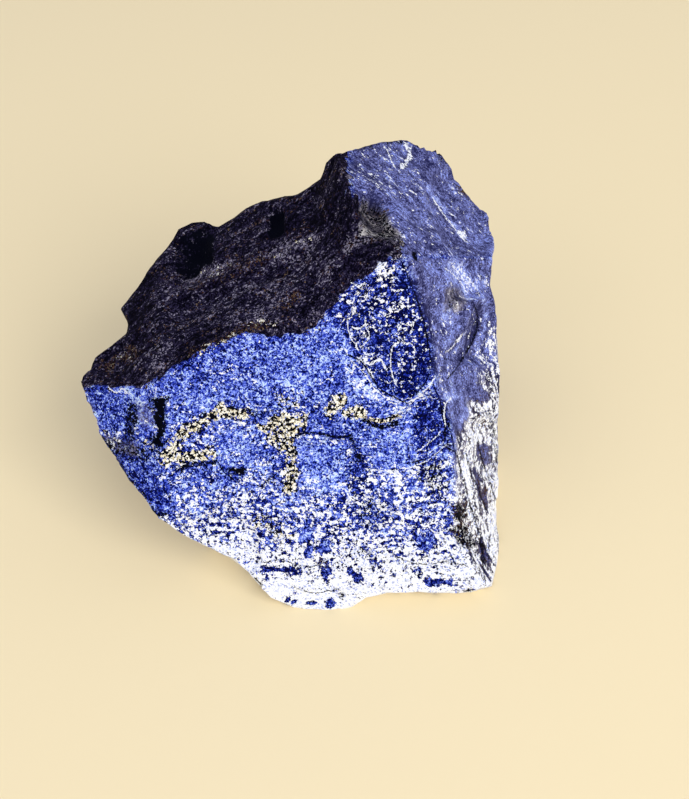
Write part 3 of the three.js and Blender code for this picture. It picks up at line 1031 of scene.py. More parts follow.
# the clusters and flecks of pyrite
PYRITE: Marks = (
    Streak("cluster arc", 0.8, 0.51, [
        (-22.3, -7.4), (-21.3, -5.5), (-19.7, -3.7), (-18, -2.6), (-15.5, -1.5), (-12.8, -1.7),
    ]),
    Streak("cluster heart", 1, 0.36, [(-20.6, -4.9), (-19.3, -3.5), (-17.8, -2.6)]),
    Streak("cluster foot", 0.8, 0.48, [(-21.1, -7.2), (-18.8, -7.2), (-16.6, -6.8)]),
    Patch("middle cluster", 0.5, 0.45, [
        (-11.7, -2.6), (-10.4, -3.6), (-8.7, -2.3), (-5.1, -1.8), (-4.9, -3.1), (-6.6, -4.6),
        (-6.9, -6.4), (-8.2, -6.4), (-9.9, -4.9),
    ]),
    Streak("hanging cluster", 0.8, 0.48, [(-7, -6.6), (-6.6, -8.9), (-6.9, -11.2)]),
    Streak("upper sprinkle", 1, 0.18, [(-8.7, 0.9), (-7.4, -0.6), (-6.1, -1.8)]),
    Streak("small cluster", 0.8, 0.45, [(-2.1, -1.8), (-1.5, -0.4), (-0.6, -0.2)]),
    Streak("gold knot", 0.9, 0.51, [(0.6, -1.8), (1.7, -1.2)]),
    Streak("thread", 0.3, 0.54, [(2, -2), (4, -2.8), (5.9, -2.6), (7, -2)]),
    Streak("left dots", 0.6, 0.27, [(-30.4, -4.4), (-29.7, -5.6)]),
    Streak("gap dots", 0.6, 0.33, [(-25.1, -5.1), (-23.9, -6.6), (-22.6, -7.9)]),
    Streak("foot sprinkle", 1, 0.21, [(-10.9, -15.3), (-9.2, -16.3), (-7.7, -17.5)]),
    Streak("top flecks", 0.5, 0.14, [(-18.8, 15.6), (-16.8, 16.1), (-14.5, 16.9)]),
    Streak("edge flecks", 0.5, 0.2, [(-12.1, 9.6), (-10.4, 10.1), (-8.7, 9.8)]),
    Streak("ragged edge", 0.4, 0.2, [(-19.3, 5.8), (-17.5, 6.9), (-15.9, 7.3), (-14.2, 8.3)]),
    Streak("upper flecks", 0.5, 0.14, [(-8.7, 18.2), (-6.6, 19.4), (-4.1, 20.7)]),
    Streak("corner gold", 0.3, 0.3, [(7, 20.2), (7.7, 19.6)]),
    Streak("corner flecks", 1, 0.1, [(2.7, 20.2), (5, 19.4), (7, 18.7)]),
    Streak("tip flecks", 0.5, 0.14, [(-29.4, 4.7), (-28.2, 5.5), (-26.9, 5.9)]),
)

# dark gaps and smudges, and painted shade on rims, in recesses and beside steps
DARK: Marks = (
    Streak("left speckle", 1.1, 0.45, [(-30.4, -5.3), (-27.9, -6.4), (-25.6, -7.2)]),
    Streak("cluster shade", 0.4, 0.55, [(-21.3, -8.7), (-19.3, -8.2), (-16.5, -7.9)]),
    Streak("crescent", 0.3, 0.55, [(-15.6, -8.7), (-14.5, -10.1)]),
    Streak("spot", 0.4, 0.8, [(-14.5, -8.9), (-12.8, -9.2)]),
    Streak("arc shade", 0.3, 0.5, [(-10.9, -10.6), (-8.7, -9.7)]),
    Streak("slab side", 0.3, 0.4, [(0.9, -4.6), (1.5, -5.9), (1.8, -7.3)]),
    Streak("slab foot", 0.3, 0.3, [(0.6, -7.9), (0.1, -10.2), (0.9, -11.7), (2.7, -12.3)]),
    Streak("slab spot", 0.4, 0.95, [(1.6, -7), (2, -7.2)]),
    Streak("thread shade", 0.3, 0.6, [(2.2, -2.5), (4.5, -3.5), (6.8, -3.1)]),
    Streak("small cluster shade", 0.3, 0.5, [(-13.2, -1.1), (-11.7, -1.6), (-9.7, -1.6)]),
    Streak("lower scar rim", 0.3, 0.6, [
        (12.2, -1.1), (13, -3.2), (12.7, -5.6), (11.6, -7.2), (8.8, -7.9),
    ]),
    Patch("dark patch", 0.6, 0.3, [
        (9.3, -8.2), (11.6, -7.7), (12.6, -8.9), (12.2, -11.2), (10.8, -11.7), (9.1, -9.9),
    ]),
    Patch("foot smudge", 0.9, 0.3, [
        (1.2, -13.5), (3.5, -12.7), (6.3, -13.5), (6, -15.5), (3.5, -16.3), (1.5, -15.3),
    ]),
    Streak("navy smudge", 0.4, 0.4, [(2.2, -18.9), (3.7, -20.1), (5.5, -20.6)]),
    Streak("black fleck", 0.3, 1, [(-11.5, -23.2), (-10.8, -23.7)]),
    Streak("foot notch", 0.3, 0.7, [(-0.3, -24.6), (-0.2, -25.4)]),
    Streak("left rim", 0.4, 0.5, [(-29.2, -7.2), (-26.9, -10.8), (-24.1, -14.6)]),
    Streak("rim knot", 0.4, 0.8, [(-24.4, -14.7), (-22.8, -14.5)]),
    Patch("corner black", 0.8, 0.3, [
        (0.7, 23.2), (2.2, 20.7), (3.5, 21.2), (7.3, 20.7), (7.5, 18.4), (5, 17.4), (2.2, 17.4),
        (-0.6, 18.9),
    ]),
    # painted shade in the left recess on the top face
    Patch("left recess", 0.4, 0.85, [
        (-21.3, 20.7), (-17.8, 21.8), (-16.3, 21.2), (-16.8, 17.4), (-18.8, 15.6), (-21.3, 14.9),
        (-21.8, 17.4),
    ]),
    # painted shade in the middle recess
    Patch("middle recess", 0.3, 1.2, [(-9.6, 23.2), (-8, 23.5), (-7.8, 20.9), (-9.3, 20.7)]),
    Streak("top rim", 0.3, 0.55, [
        (-2.3, 29.3), (0.1, 31.5), (4.5, 32.7), (7.5, 33.1), (10.1, 32.6), (12.1, 30.8),
    ]),
    Streak("flank spot", 0.3, 0.9, [(8.9, 18.7), (9.2, 17.9)]),
    Streak("sill fleck", 0.2, 0.9, [(15.6, -24), (16.3, -24.1)]),
    # painted shadow beside the pale strip at the left end
    Patch("left triangle", 0.4, 0.7, [
        (-27.3, -0.1), (-26.5, -0.6), (-26.6, -5.1), (-27.5, -5.4), (-27.8, -2.6),
    ]),
    Patch("left bar", 0.4, 0.85, [
        (-24.2, -0.3), (-22.3, 0.1), (-22.8, -1.6), (-23.1, -4.6), (-23.4, -6.1), (-24.1, -5.9),
        (-23.7, -3.1), (-24.4, -1.6),
    ]),
    Streak("bar foot", 0.4, 0.5, [(-24.6, -5.1), (-23.1, -5.6)]),
    Patch("low left specks", 0.6, 0.35, [
        (-29.7, -5.1), (-25.9, -6.6), (-26.4, -8.4), (-28.7, -7.4),
    ]),
    Patch("shoulder shade", 1, 0.3, [
        (-1.8, 28.3), (0.7, 29.3), (1.2, 25.3), (2.2, 21.2), (-0.1, 21.2), (-2.1, 25.3),
    ]),
    Patch("grey-green place", 0.6, 0.5, [
        (2, 25), (4, 24.7), (7, 20.4), (6.5, 19.4), (4.2, 18.7), (2.5, 19.9),
    ]),
    Patch("flank hollow", 0.6, 0.35, [(13.1, 13.6), (14.1, 13.9), (14.4, 12.1), (13.4, 11.8)]),
    Streak("arc edge", 0.2, 0.45, [(16.9, 10.3), (16.6, 8.3), (15.9, 6.5), (14.9, 4.7)]),
    Streak("inner arc edge", 0.2, 0.35, [(15.1, 10.3), (14.9, 8.3), (13.6, 6), (12.6, 4.2)]),
    Patch("far lamination", 0.6, 0.12, [(16.1, -8.9), (17.4, -9.4), (18.9, -14.2), (17.7, -14.5)]),
    Patch("upper blob", 0.4, 0.62, [
        (13.6, -13.7), (14.9, -13.2), (15.5, -14.5), (14.9, -15.5), (13.7, -15.3),
    ]),
    Patch("lower blob", 0.4, 0.6, [
        (13.4, -16.3), (14.6, -15.8), (16.1, -17), (17.2, -18.3), (16.1, -18.8), (14.4, -18.3),
    ]),
    Streak("far edge", 0.2, 0.5, [(18.4, -1.8), (19.2, -5.1), (19.6, -8.9)]),
    Patch("sill specks", 0.8, 0.1, [
        (-6.9, -19.8), (10.8, -19.3), (17.2, -21.1), (16.9, -22.8), (7, -21.8), (-5.6, -22.3),
    ]),
    Patch("crust shade", 1.3, 0.2, [
        (-32.2, 3.5), (-29.7, 6), (-24.6, 8.8), (-23.4, 6.3), (-29.7, 3),
    ]),
)

# paler places: rubbed and bruised ones, and painted highlights on rims, facets and edges that face
# the light
PALE: Marks = (
    # painted highlight along the front's top edge at the left end
    Streak("left streak", 0.4, 0.9, [(-29.9, 2), (-28.7, 0.8), (-27.5, 1.5), (-26.5, 0.2)]),
    Patch("smooth patch", 0.8, 0.35, [
        (-17.5, -4.4), (-15.1, -3.1), (-12, -3.1), (-9.2, -5.1), (-7.9, -7.9), (-9.4, -9.2),
        (-12, -8.2), (-15.1, -7.9), (-17.3, -7.2),
    ]),
    Patch("slab", 0.5, 0.4, [
        (-5.6, -5.1), (0.1, -5.1), (0.9, -6.6), (0.2, -10.9), (-2.5, -11.5), (-5.6, -10.4),
    ]),
    # painted highlight on the band under the upper scar's rim, which faces up
    Patch("under rim", 0.6, 0.55, [
        (-0.4, 5.8), (4, 1.2), (7.7, -0.4), (11.2, 2), (11.3, 0.8), (8.8, -1.5), (6, -2.1),
        (0.9, 1.7),
    ]),
    Patch("scar left", 0.8, 0.45, [
        (5.1, -0.3), (8.5, -1.6), (8.3, -5.1), (5.8, -5.9), (4.2, -3.2),
    ]),
    # painted highlight along the lower scar's bottom rim
    Streak("lower rim", 0.4, 0.9, [(4.6, -8.7), (8.8, -8.2), (11.6, -6.5), (13.2, -4.4)]),
    # painted highlight: a small flash in the lower scar
    Streak("small flash", 0.2, 0.9, [(10.1, -4.1), (11.1, -4)]),
    # painted highlight near the front's left end
    Patch("front left flash", 0.5, 0.4, [(-20.8, 0.9), (-18.5, 0.9), (-18.8, -0.3), (-20.3, -0.6)]),
    Patch("front middle", 1.5, 0.25, [
        (-15.1, 5), (-5.6, 7.5), (-1.8, 6.3), (-5.6, 0.6), (-13.2, 0.6),
    ]),
    Streak("foot rim", 0.5, 0.7, [(-22.3, -15.3), (-20.6, -16.1), (-18.8, -17.5)]),
    Streak("diagonal streak", 0.3, 0.8, [(10.1, 27.3), (11.7, 25), (13.4, 22.8), (15.9, 19.7)]),
    Patch("lump", 0.5, 0.55, [(12.8, 0.4), (14.9, 0.7), (15.9, -1.3), (15.1, -3.4), (13.6, -2.6)]),
    Streak("lobe edge", 0.4, 0.5, [(17.7, 25.8), (18.7, 22.7), (18.7, 17.4)]),
    Patch("left strip", 0.3, 0.3, [
        (-27.2, 0.9), (-25.9, 0.2), (-24.5, -0.3), (-24.4, -3.9), (-25.1, -4.4), (-26.1, -3.1),
        (-26.4, -0.8),
    ]),
    # painted highlight on the flank facet that faces the light
    Patch("bright facet", 0.9, 0.75, [
        (13.1, 17.4), (14.4, 17.4), (16.9, 13.9), (17.2, 12.6), (15.9, 12.8), (14.4, 14.9),
        (12.8, 15.6),
    ]),
    # painted highlight on a second flank facet
    Patch("second facet", 0.6, 0.7, [
        (12.1, 12.1), (13.4, 11.8), (14.4, 9.8), (13.4, 9.3), (12.3, 10.6),
    ]),
    Streak("far strip", 0.4, 0.7, [(17.7, 13.1), (17.9, 11.1), (17.4, 8)]),
    Patch("inner facet", 0.6, 0.4, [(12.6, 9.1), (14.9, 9.3), (14.4, 6.8), (12.8, 5)]),
    Patch("left crust", 1, 0.15, [
        (-30.9, 6), (-24.6, 12.6), (-21.1, 17.4), (-21.3, 12.6), (-18.3, 8.2), (-24.6, 4.7),
    ]),
    Streak("top streak", 0.6, 0.8, [(-19.6, 15.1), (-16.8, 16.1), (-13.7, 17.2)]),
    Streak("upper streak", 0.8, 0.8, [(-9.7, 17.4), (-7.2, 19.2), (-3.6, 20.7)]),
    Streak("edge streak", 0.6, 0.7, [(-13.7, 9.3), (-11.2, 10.3), (-8.2, 10.1)]),
    Streak("corner streak", 0.9, 0.8, [(0.7, 19.4), (4, 20.4), (6.8, 19.7)]),
    # painted light around the flank's lit facets
    Patch("flank glow", 1, 0.15, [
        (10.3, 17.4), (13.1, 18.2), (17.7, 13.9), (17.9, 7.5), (14.9, 5.5), (12.1, 8.8),
    ]),
    Patch("crust haze", 2, 0.35, [
        (-19.6, 13.9), (-10.7, 17.4), (-1.8, 20.7), (-0.6, 17.4), (-8.2, 11.3), (-18.3, 8.8),
    ]),
)

# places where the blue is deeper, and painted shade: on the flank's shoulder, beside the arc edge
# and along the front-flank ridge
DEEP: Marks = (
    Patch("upper scar", 0.5, 0.85, [
        (-1.2, 13.7), (0.2, 15.6), (4, 17.4), (6.8, 17.4), (8.3, 14.6), (9.7, 11.6), (10.6, 7.4),
        (11.1, 4.2), (9.6, 1.6), (8.2, -0.1), (6.3, 0.6), (4, 2), (2, 4.2), (0.4, 7.5), (-1.3, 9.4),
        (-2.3, 11.3),
    ]),
    Patch("lower scar", 0.5, 0.75, [
        (9.1, -0.6), (11.3, 0.9), (12.8, -0.3), (13, -3.9), (12.1, -6.1), (9.6, -6.9), (8.8, -3.9),
    ]),
    Patch("left tip", 0.5, 0.5, [(-33, 2), (-30.9, 0.9), (-32, -3.9), (-32.7, -1.3)]),
    Patch("left rim", 0.5, 0.55, [
        (-30.9, -5.1), (-28.4, -6.6), (-23.4, -12.7), (-22.6, -15.5), (-25.9, -13.4), (-29.4, -8.9),
    ]),
    Patch("scar shadow", 0.6, 0.4, [
        (-1.1, -5.1), (2.7, -7.7), (3.5, -11.5), (0.9, -12.2), (-0.3, -8.9),
    ]),
    # painted shade beside the arc edge on the flank
    Streak("arc band", 0.6, 0.5, [
        (16.8, 12.8), (16.9, 10.8), (16.4, 8.5), (15.5, 6.5), (14.5, 4.7),
    ]),
    # painted shade on the flank's shoulder
    Patch("shoulder", 0.9, 0.3, [(0.7, 30.3), (3.5, 30.3), (5, 25.8), (3.5, 24.5), (0.9, 25.3)]),
    Patch("foot", 1.1, 0.35, [
        (-10.4, -19.1), (-5.6, -17.8), (2, -17.5), (9.6, -19.1), (15.9, -19.3), (18.7, -17.8),
        (19.2, -24.1), (12.1, -25.4), (0.1, -27.9), (-6.9, -26.9), (-13.2, -21.6),
    ]),
    Patch("flank lump", 0.4, 0.5, [(13.4, -0.3), (14.6, -0.3), (15.1, -1.8), (14.1, -2.6)]),
    # painted shadow along the front-flank ridge
    Streak("corner strip", 0.3, 0.6, [
        (7.3, 17.4), (8.8, 14.4), (10.3, 10.6), (11.1, 6.3), (11.3, 3.5),
    ]),
    Patch("under lower rim", 0.5, 0.5, [(9.3, -8.4), (12.1, -7.7), (12.6, -11.5), (10.8, -12)]),
    Patch("left end", 0.6, 0.4, [
        (-33, 1.7), (-30.4, 2), (-27.4, 0.4), (-26.9, -5.1), (-30.4, -4.6), (-32.2, -1.6),
    ]),
    Patch("left rim shade", 0.9, 0.45, [
        (-30.4, -5.9), (-25.9, -7.2), (-21.3, -14), (-17, -17.8), (-19.6, -17.8), (-24.6, -14),
    ]),
)

# places with brown dust
RUST: Marks = (
    Streak("top haze", 1.1, 0.16, [(-18, 14.7), (-14.5, 16.4), (-10.9, 17.9)]),
    Streak("red streak", 0.5, 0.4, [(-7.4, 11.5), (-6.6, 12.6), (-5.8, 13.7)]),
    Streak("tip haze", 0.8, 0.4, [(-29.9, 4.2), (-28.2, 5.3), (-26.6, 6)]),
    Streak("edge haze", 0.6, 0.3, [(-19.3, 6), (-15.5, 7.5), (-12, 9.3), (-8.2, 9.8)]),
    Patch("shoulder dirt", 0.8, 0.16, [
        (2.2, 24.7), (5.3, 25.3), (6.5, 21.5), (5, 19.9), (2.7, 21.2),
    ]),
    Patch("lobe dirt", 0.4, 0.7, [(14.2, 27.3), (15.3, 27.3), (15.4, 25.8), (14.5, 25.8)]),
    Patch("first olive", 0.3, 0.9, [(-4.2, -21.1), (-3.4, -20.3), (-2.1, -20.2), (-2.6, -21.3)]),
    Patch("second olive", 0.3, 0.9, [(15.5, -21.1), (15.9, -20.4), (16.9, -20.8), (16.6, -21.6)]),
    Patch("far brown", 0.4, 0.8, [(16.9, -2.3), (18.2, -3.1), (17.9, -4.4), (16.9, -3.9)]),
    Patch("flank foot", 0.8, 0.28, [
        (15.9, -1.3), (17.9, 2), (19.7, 1.2), (19.9, -8.9), (19.4, -22.8), (17.7, -23.4),
        (16.1, -19.8), (14.9, -15.3), (14.4, -8.9), (14.9, -5.1),
    ]),
    Patch("far lamination", 0.6, 0.55, [
        (16.9, -10.2), (18.9, -10.9), (19.6, -14.7), (18.2, -15.3), (17.2, -12.7),
    ]),
    Patch("blob brown", 0.6, 0.8, [
        (13.6, -13.2), (15.4, -13.2), (17.2, -17.8), (15.9, -18.8), (13.6, -18),
    ]),
)

# weathered places, grey-brown
EARTH: Marks = (
    Patch("left strip", 0.3, 0.35, [
        (-26.6, 0.2), (-25.6, -0.3), (-24.6, -0.8), (-24.6, -3.6), (-25.3, -3.9), (-26, -2.6),
    ]),
    Patch("left speckle", 0.5, 0.6, [
        (-30.4, -4.4), (-28.4, -5.1), (-26.1, -5.9), (-26.4, -7.2), (-28.9, -6.6),
    ]),
    Patch("grey-green place", 0.5, 0.95, [
        (0.7, 24.5), (4, 25), (7.3, 20.7), (7, 19.2), (4.2, 18.2), (0.9, 19.4),
    ]),
    Patch("flank hollow", 0.6, 0.7, [
        (12.8, 13.9), (14.6, 14.1), (15.4, 12.6), (14.6, 11.3), (12.8, 11.6),
    ]),
    Patch("flank foot", 0.8, 0.72, [
        (15.9, -0.1), (17.9, 3.5), (19.7, 2.5), (19.9, -8.9), (19.4, -24.1), (17.7, -24.1),
        (16.1, -19.8), (14.9, -15.3), (14, -8.9), (14.6, -3.9),
    ]),
)

# clean blue where there would be white or brown
LAPIS: Marks = (
    Patch("first lump", 0.2, 1, [
        (-5.6, -16.5), (-4.6, -15.9), (-3.9, -16.8), (-4.5, -17.9), (-5.5, -17.7),
    ]),
    Patch("second lump", 0.2, 1, [(-5.3, -19.1), (-4.2, -18.4), (-4, -19.1), (-4.7, -19.7)]),
    Patch("third lump", 0.2, 1, [(-3.5, -18.7), (-2.3, -18.3), (-1.8, -19.1), (-2.8, -19.6)]),
    Patch("fourth lump", 0.2, 1, [(-3, -22.1), (-1.8, -21.1), (-1.3, -21.8), (-2.3, -22.7)]),
    Patch("slanting lump", 0.2, 1, [(0.6, -21.7), (1.5, -22.1), (2.2, -23.1), (1.2, -22.8)]),
    Patch("long lump", 0.2, 1, [
        (10.1, -23.1), (11.3, -22.7), (13.6, -23), (14, -23.6), (12.6, -23.7), (10.8, -23.6),
    ]),
    Patch("toe lump", 0.2, 1, [
        (-2.8, -26.1), (-1.8, -25.5), (-0.8, -25.8), (-1.3, -26.6), (-2.5, -26.8),
    ]),
    Streak("heel lump", 0.2, 1, [(-7.5, -25.3), (-6.1, -25.8)]),
    Streak("heel fleck", 0.2, 0.95, [(-5, -25.8), (-3.6, -26.1)]),
    Streak("long streak", 0.3, 0.66, [(-10.2, -21.7), (-7.9, -21.5), (-5.6, -22)]),
    Streak("short streak", 0.2, 0.8, [(-9.7, -22.6), (-7.7, -22.7)]),
    Patch("blue patch", 0.4, 0.7, [
        (9.3, -17.3), (11.1, -16.8), (11.8, -17.8), (10.8, -19.1), (9.6, -18.8),
    ]),
    Streak("sliver", 0.3, 0.95, [(17.5, -18), (17.8, -20.3), (17.8, -21.8)]),
    Patch("flank lump", 0.3, 0.8, [
        (13.1, 0.2), (14.6, 0.2), (15.6, -1.3), (15.1, -3.4), (13.6, -2.8), (12.8, -1.3),
    ]),
    Patch("left lobe", 0.6, 0.3, [(-32, 0.9), (-27.5, -0.1), (-27.5, -3.4), (-31.2, -3.4)]),
    Patch("left rim", 0.6, 0.34, [
        (-29.4, -6.6), (-25.9, -8.2), (-23.4, -11.5), (-21.8, -14.2), (-24.6, -14.7),
        (-27.7, -10.4),
    ]),
    Patch("flank blue", 0.4, 0.75, [(17.2, -5.6), (18.4, -6.1), (18.2, -8.2), (17, -7.4)]),
    Patch("upper flank blue", 0.4, 0.75, [(16.4, 2), (18.2, 0.9), (17.4, -0.8), (16.1, -0.1)]),
    Streak("low flank blue", 0.4, 0.6, [(16.4, -8.9), (17.4, -11.7), (17.9, -13.7)]),
)

# cracks healed with calcite, and two thin painted highlights: the arc glint and the left flash
VEINS_AND_GLINTS: tuple[Hairline, ...] = (
    Hairline("upper hairline", 0.09, [
        (0.9, 14.9), (1.6, 14.4), (2.3, 14), (2.9, 13.3), (3.1, 12.8),
    ]),
    Hairline("short hairline", 0.11, [(1.7, 14.5), (2.7, 14.7)]),
    Hairline("bowed hairline", 0.08, [
        (2.7, 10.3), (2.7, 9.3), (3.2, 8.5), (3.1, 7.8), (2.8, 7.2), (2.2, 6.5),
    ]),
    Hairline("left hairline", 0.09, [(0.4, 9.8), (0.6, 8.8), (0.9, 7.7), (1.5, 6.8), (1.8, 6.3)]),
    Hairline("inner rim", 0.08, [(2, 5.3), (2.5, 4.7), (3, 4.1), (3.4, 3.4), (3.7, 2.8)]),
    Hairline("smile", 0.11, [(2.5, 6), (3, 5.8), (3.7, 5.9)]),
    Hairline("wedge", 0.15, [(3, 4.5), (3.7, 4.9), (4.5, 5.1), (5, 4.6), (5.4, 3.7)]),
    Hairline("long hairline", 0.09, [
        (6.6, 1.7), (6.1, 2.7), (5.8, 3.9), (5.8, 4.7), (5.8, 5.5), (6, 6.5), (6.3, 7), (6.9, 7.4),
    ]),
    Hairline("loop", 0.09, [(6.9, 8), (7.3, 7.7), (7.7, 7.2), (8.4, 7.2), (8.8, 6.8), (9.1, 6.1)]),
    Hairline("right hairline", 0.09, [(8.3, 8.4), (8.7, 9.3), (8.8, 10.1), (9.4, 10.3)]),
    Hairline("small arch", 0.08, [(6.5, 9.3), (6.9, 9.6), (7.5, 9.7), (8, 9.4)]),
    Hairline("groove rim", 0.09, [
        (0.8, 5), (1.5, 4.4), (2.3, 3.6), (3.1, 2.6), (3.5, 1.8), (4.2, 1.1), (5.1, 0.5),
        (5.9, 0.1), (6.9, -0.2),
    ]),
    Hairline("right rim", 0.1, [(8, -0.3), (9.3, 0.4), (10.6, 1.7), (11.3, 2.8)]),
    Hairline("left bright", 0.13, [(-0.8, 6.3), (-0.2, 6.4), (0.3, 6.3), (0.4, 5.8)]),
    Hairline("lower rim", 0.1, [
        (2.7, -8.7), (4.5, -8.9), (6.8, -8.8), (9.1, -8.3), (11.1, -7.2), (12.8, -5.8),
    ]),
    Hairline("lower rim fork", 0.08, [(9.1, -6.4), (10.1, -5.9), (11.1, -5.1), (12.1, -4.1)]),
    Hairline("shoulder hook", 0.21, [
        (7.7, 32.6), (8.2, 31.7), (8.2, 30.7), (7.7, 29.6), (7.2, 29.2),
    ]),
    Hairline("shoulder scratch", 0.08, [(5.1, 32.1), (5.9, 30.6), (6.6, 29.1)]),
    Hairline("diagonal scratch", 0.09, [
        (11.3, 25.5), (12.2, 24), (13.2, 22.7), (14.4, 21.2), (15.6, 19.9),
    ]),
    # painted highlight: a light line beside the arc edge on the flank
    Hairline("arc glint", 0.09, [(12.8, 6), (13.9, 7), (14.9, 8.3)]),
    Hairline("facet streak 1", 0.08, [(12.8, 16.6), (14.1, 15.6), (15.6, 13.6)]),
    Hairline("facet streak 2", 0.08, [(14.1, 17.4), (15.4, 16.1), (16.6, 14.1)]),
    Hairline("facet streak 3", 0.07, [(13.4, 17.4), (14.9, 16.3), (16.4, 14.6), (17.2, 13.1)]),
    Hairline("facet scratch", 0.09, [(13.6, 16.9), (14.9, 15.6), (16.4, 13.6)]),
    # painted highlight along the front's top edge at the left end
    Hairline("left flash", 0.11, [(-29.9, 1.7), (-28.9, 0.9), (-28.2, 1.5), (-27.2, 0.7)]),
    Hairline("lump ring", 0.09, [(12.8, -3.4), (12.5, -1.8), (12.7, -0.6), (13.5, 0.3)]),
)

# open cracks, and dark lines along the front-flank ridge that are painted shadow of the ridge
CRACKS_AND_RIDGE_SHADE: tuple[Hairline, ...] = (
    Hairline("slab crack", 0.22, [
        (-6.8, -4.9), (-5.9, -4.4), (-4.9, -4.2), (-3.4, -4.2), (-1.8, -4.5), (-0.6, -4.7),
        (0.7, -4.5),
    ]),
    Hairline("slab side", 0.08, [(0.9, -4.7), (1.3, -5.8), (1.5, -6.6), (2, -7.4)]),
    Hairline("groove", 0.11, [
        (0.2, 5.8), (1.2, 5.4), (2.1, 4.9), (2.7, 4.2), (3.4, 3.1), (4, 2.1), (4.6, 1.3),
        (5.5, 0.8), (6.5, 0.3), (7.5, -0.1), (8.5, 0.4), (9.6, 1.5), (10.4, 2.7), (10.8, 4),
    ]),
    # painted shadow along the front-flank ridge, from the corner down
    Hairline("corner edge", 0.12, [
        (7.2, 17.9), (8.3, 15.1), (9.3, 12.6), (10.1, 9.8), (10.6, 7.5), (10.9, 5.5), (11.2, 3.5),
    ]),
    # painted shadow along the lower front-flank ridge
    Hairline("corner edge low", 0.11, [
        (11.2, 2), (12.1, -0.1), (12.8, -2.1), (13.5, -4.1), (14, -6.4),
    ]),
    Hairline("flank edge", 0.14, [
        (14.1, -6.6), (14.6, -8.4), (15.3, -10.7), (16, -13.4), (16.9, -16.3), (17.7, -18.8),
    ]),
    Hairline("inner line", 0.12, [(15.4, -6.6), (16.1, -9.2), (17.2, -11.7), (18.2, -14.2)]),
    Hairline("second line", 0.1, [(16.9, -5.1), (17.5, -7.7), (18.4, -10.2), (19.2, -12.7)]),
    Hairline("sliver side", 0.12, [(17.3, -17.8), (17.4, -19.8), (17.8, -22.1), (18, -23.4)]),
    Hairline("sliver back", 0.09, [(18.4, -17.3), (18.3, -19.8), (18.2, -22.1)]),
    Hairline("arc line", 0.09, [
        (16.1, 12.6), (16.9, 10.8), (16.8, 8.8), (15.9, 6.5), (14.6, 4.5), (13.1, 2.5),
    ]),
    Hairline("foot line", 0.08, [
        (6.5, -19.8), (8.5, -20.6), (10.8, -20.8), (13.6, -20.6), (15.9, -21.1),
    ]),
    Hairline("left foot line", 0.08, [(-10.4, -20.6), (-7.7, -20.3), (-5.1, -21.1), (-2.3, -20.6)]),
    Hairline("low foot line", 0.07, [(-6.1, -23.9), (-3.4, -24.4), (-0.6, -23.9)]),
    Hairline("spot", 0.22, [(-14.6, -8.8), (-13.7, -9.1), (-12.7, -9.2)]),
    Hairline("cluster foot", 0.1, [(-22.1, -8.2), (-20.3, -8.5), (-18.3, -8.3), (-16.3, -7.9)]),
    Hairline("crescent", 0.09, [(-15.9, -7.9), (-15.3, -8.9), (-14.4, -9.9), (-13.2, -10.7)]),
    Hairline("thread shade", 0.11, [(2.2, -2.6), (3.5, -3.2), (5, -3.5), (6.8, -3.1)]),
    Hairline("lower scar edge", 0.12, [
        (12.1, -1.1), (12.8, -3.1), (12.6, -5.4), (11.6, -6.9), (9.6, -7.8), (7.5, -8.2),
    ]),
)

MARKINGS: dict[Stain, Marks] = {
    Stain.CALCITE: CALCITE,
    Stain.PYRITE: PYRITE,
    Stain.DARK: DARK,
    Stain.PALE: PALE,
    Stain.DEEP: DEEP,
    Stain.RUST: RUST,
    Stain.EARTH: EARTH,
    Stain.LAPIS: LAPIS,
}
HAIRLINES: dict[Stain, tuple[Hairline, ...]] = {Stain.VEIN_AND_GLINT: VEINS_AND_GLINTS, Stain.CRACK_AND_RIDGE_SHADE: CRACKS_AND_RIDGE_SHADE}

# the crust's right border on the top face: how far right it goes, from the corner up
CRUST_EDGE: Line = ((17, 7.4), (20, 7.2), (20.8, 3), (24, 1.8), (26, 0.9), (32, 0.6))

# noise of two sizes, for what changes slowly over the stone
BROAD_NOISE: Parts = ((1.0, 9.0), (0.5, 4.0))


@dataclass(frozen=True)
class Ground:
    """The stone's points, where each is on the leaning plane, and whether it is on a drawn face."""

    points: Array
    x: Array
    y: Array
    depth: Array
    drawn: Array


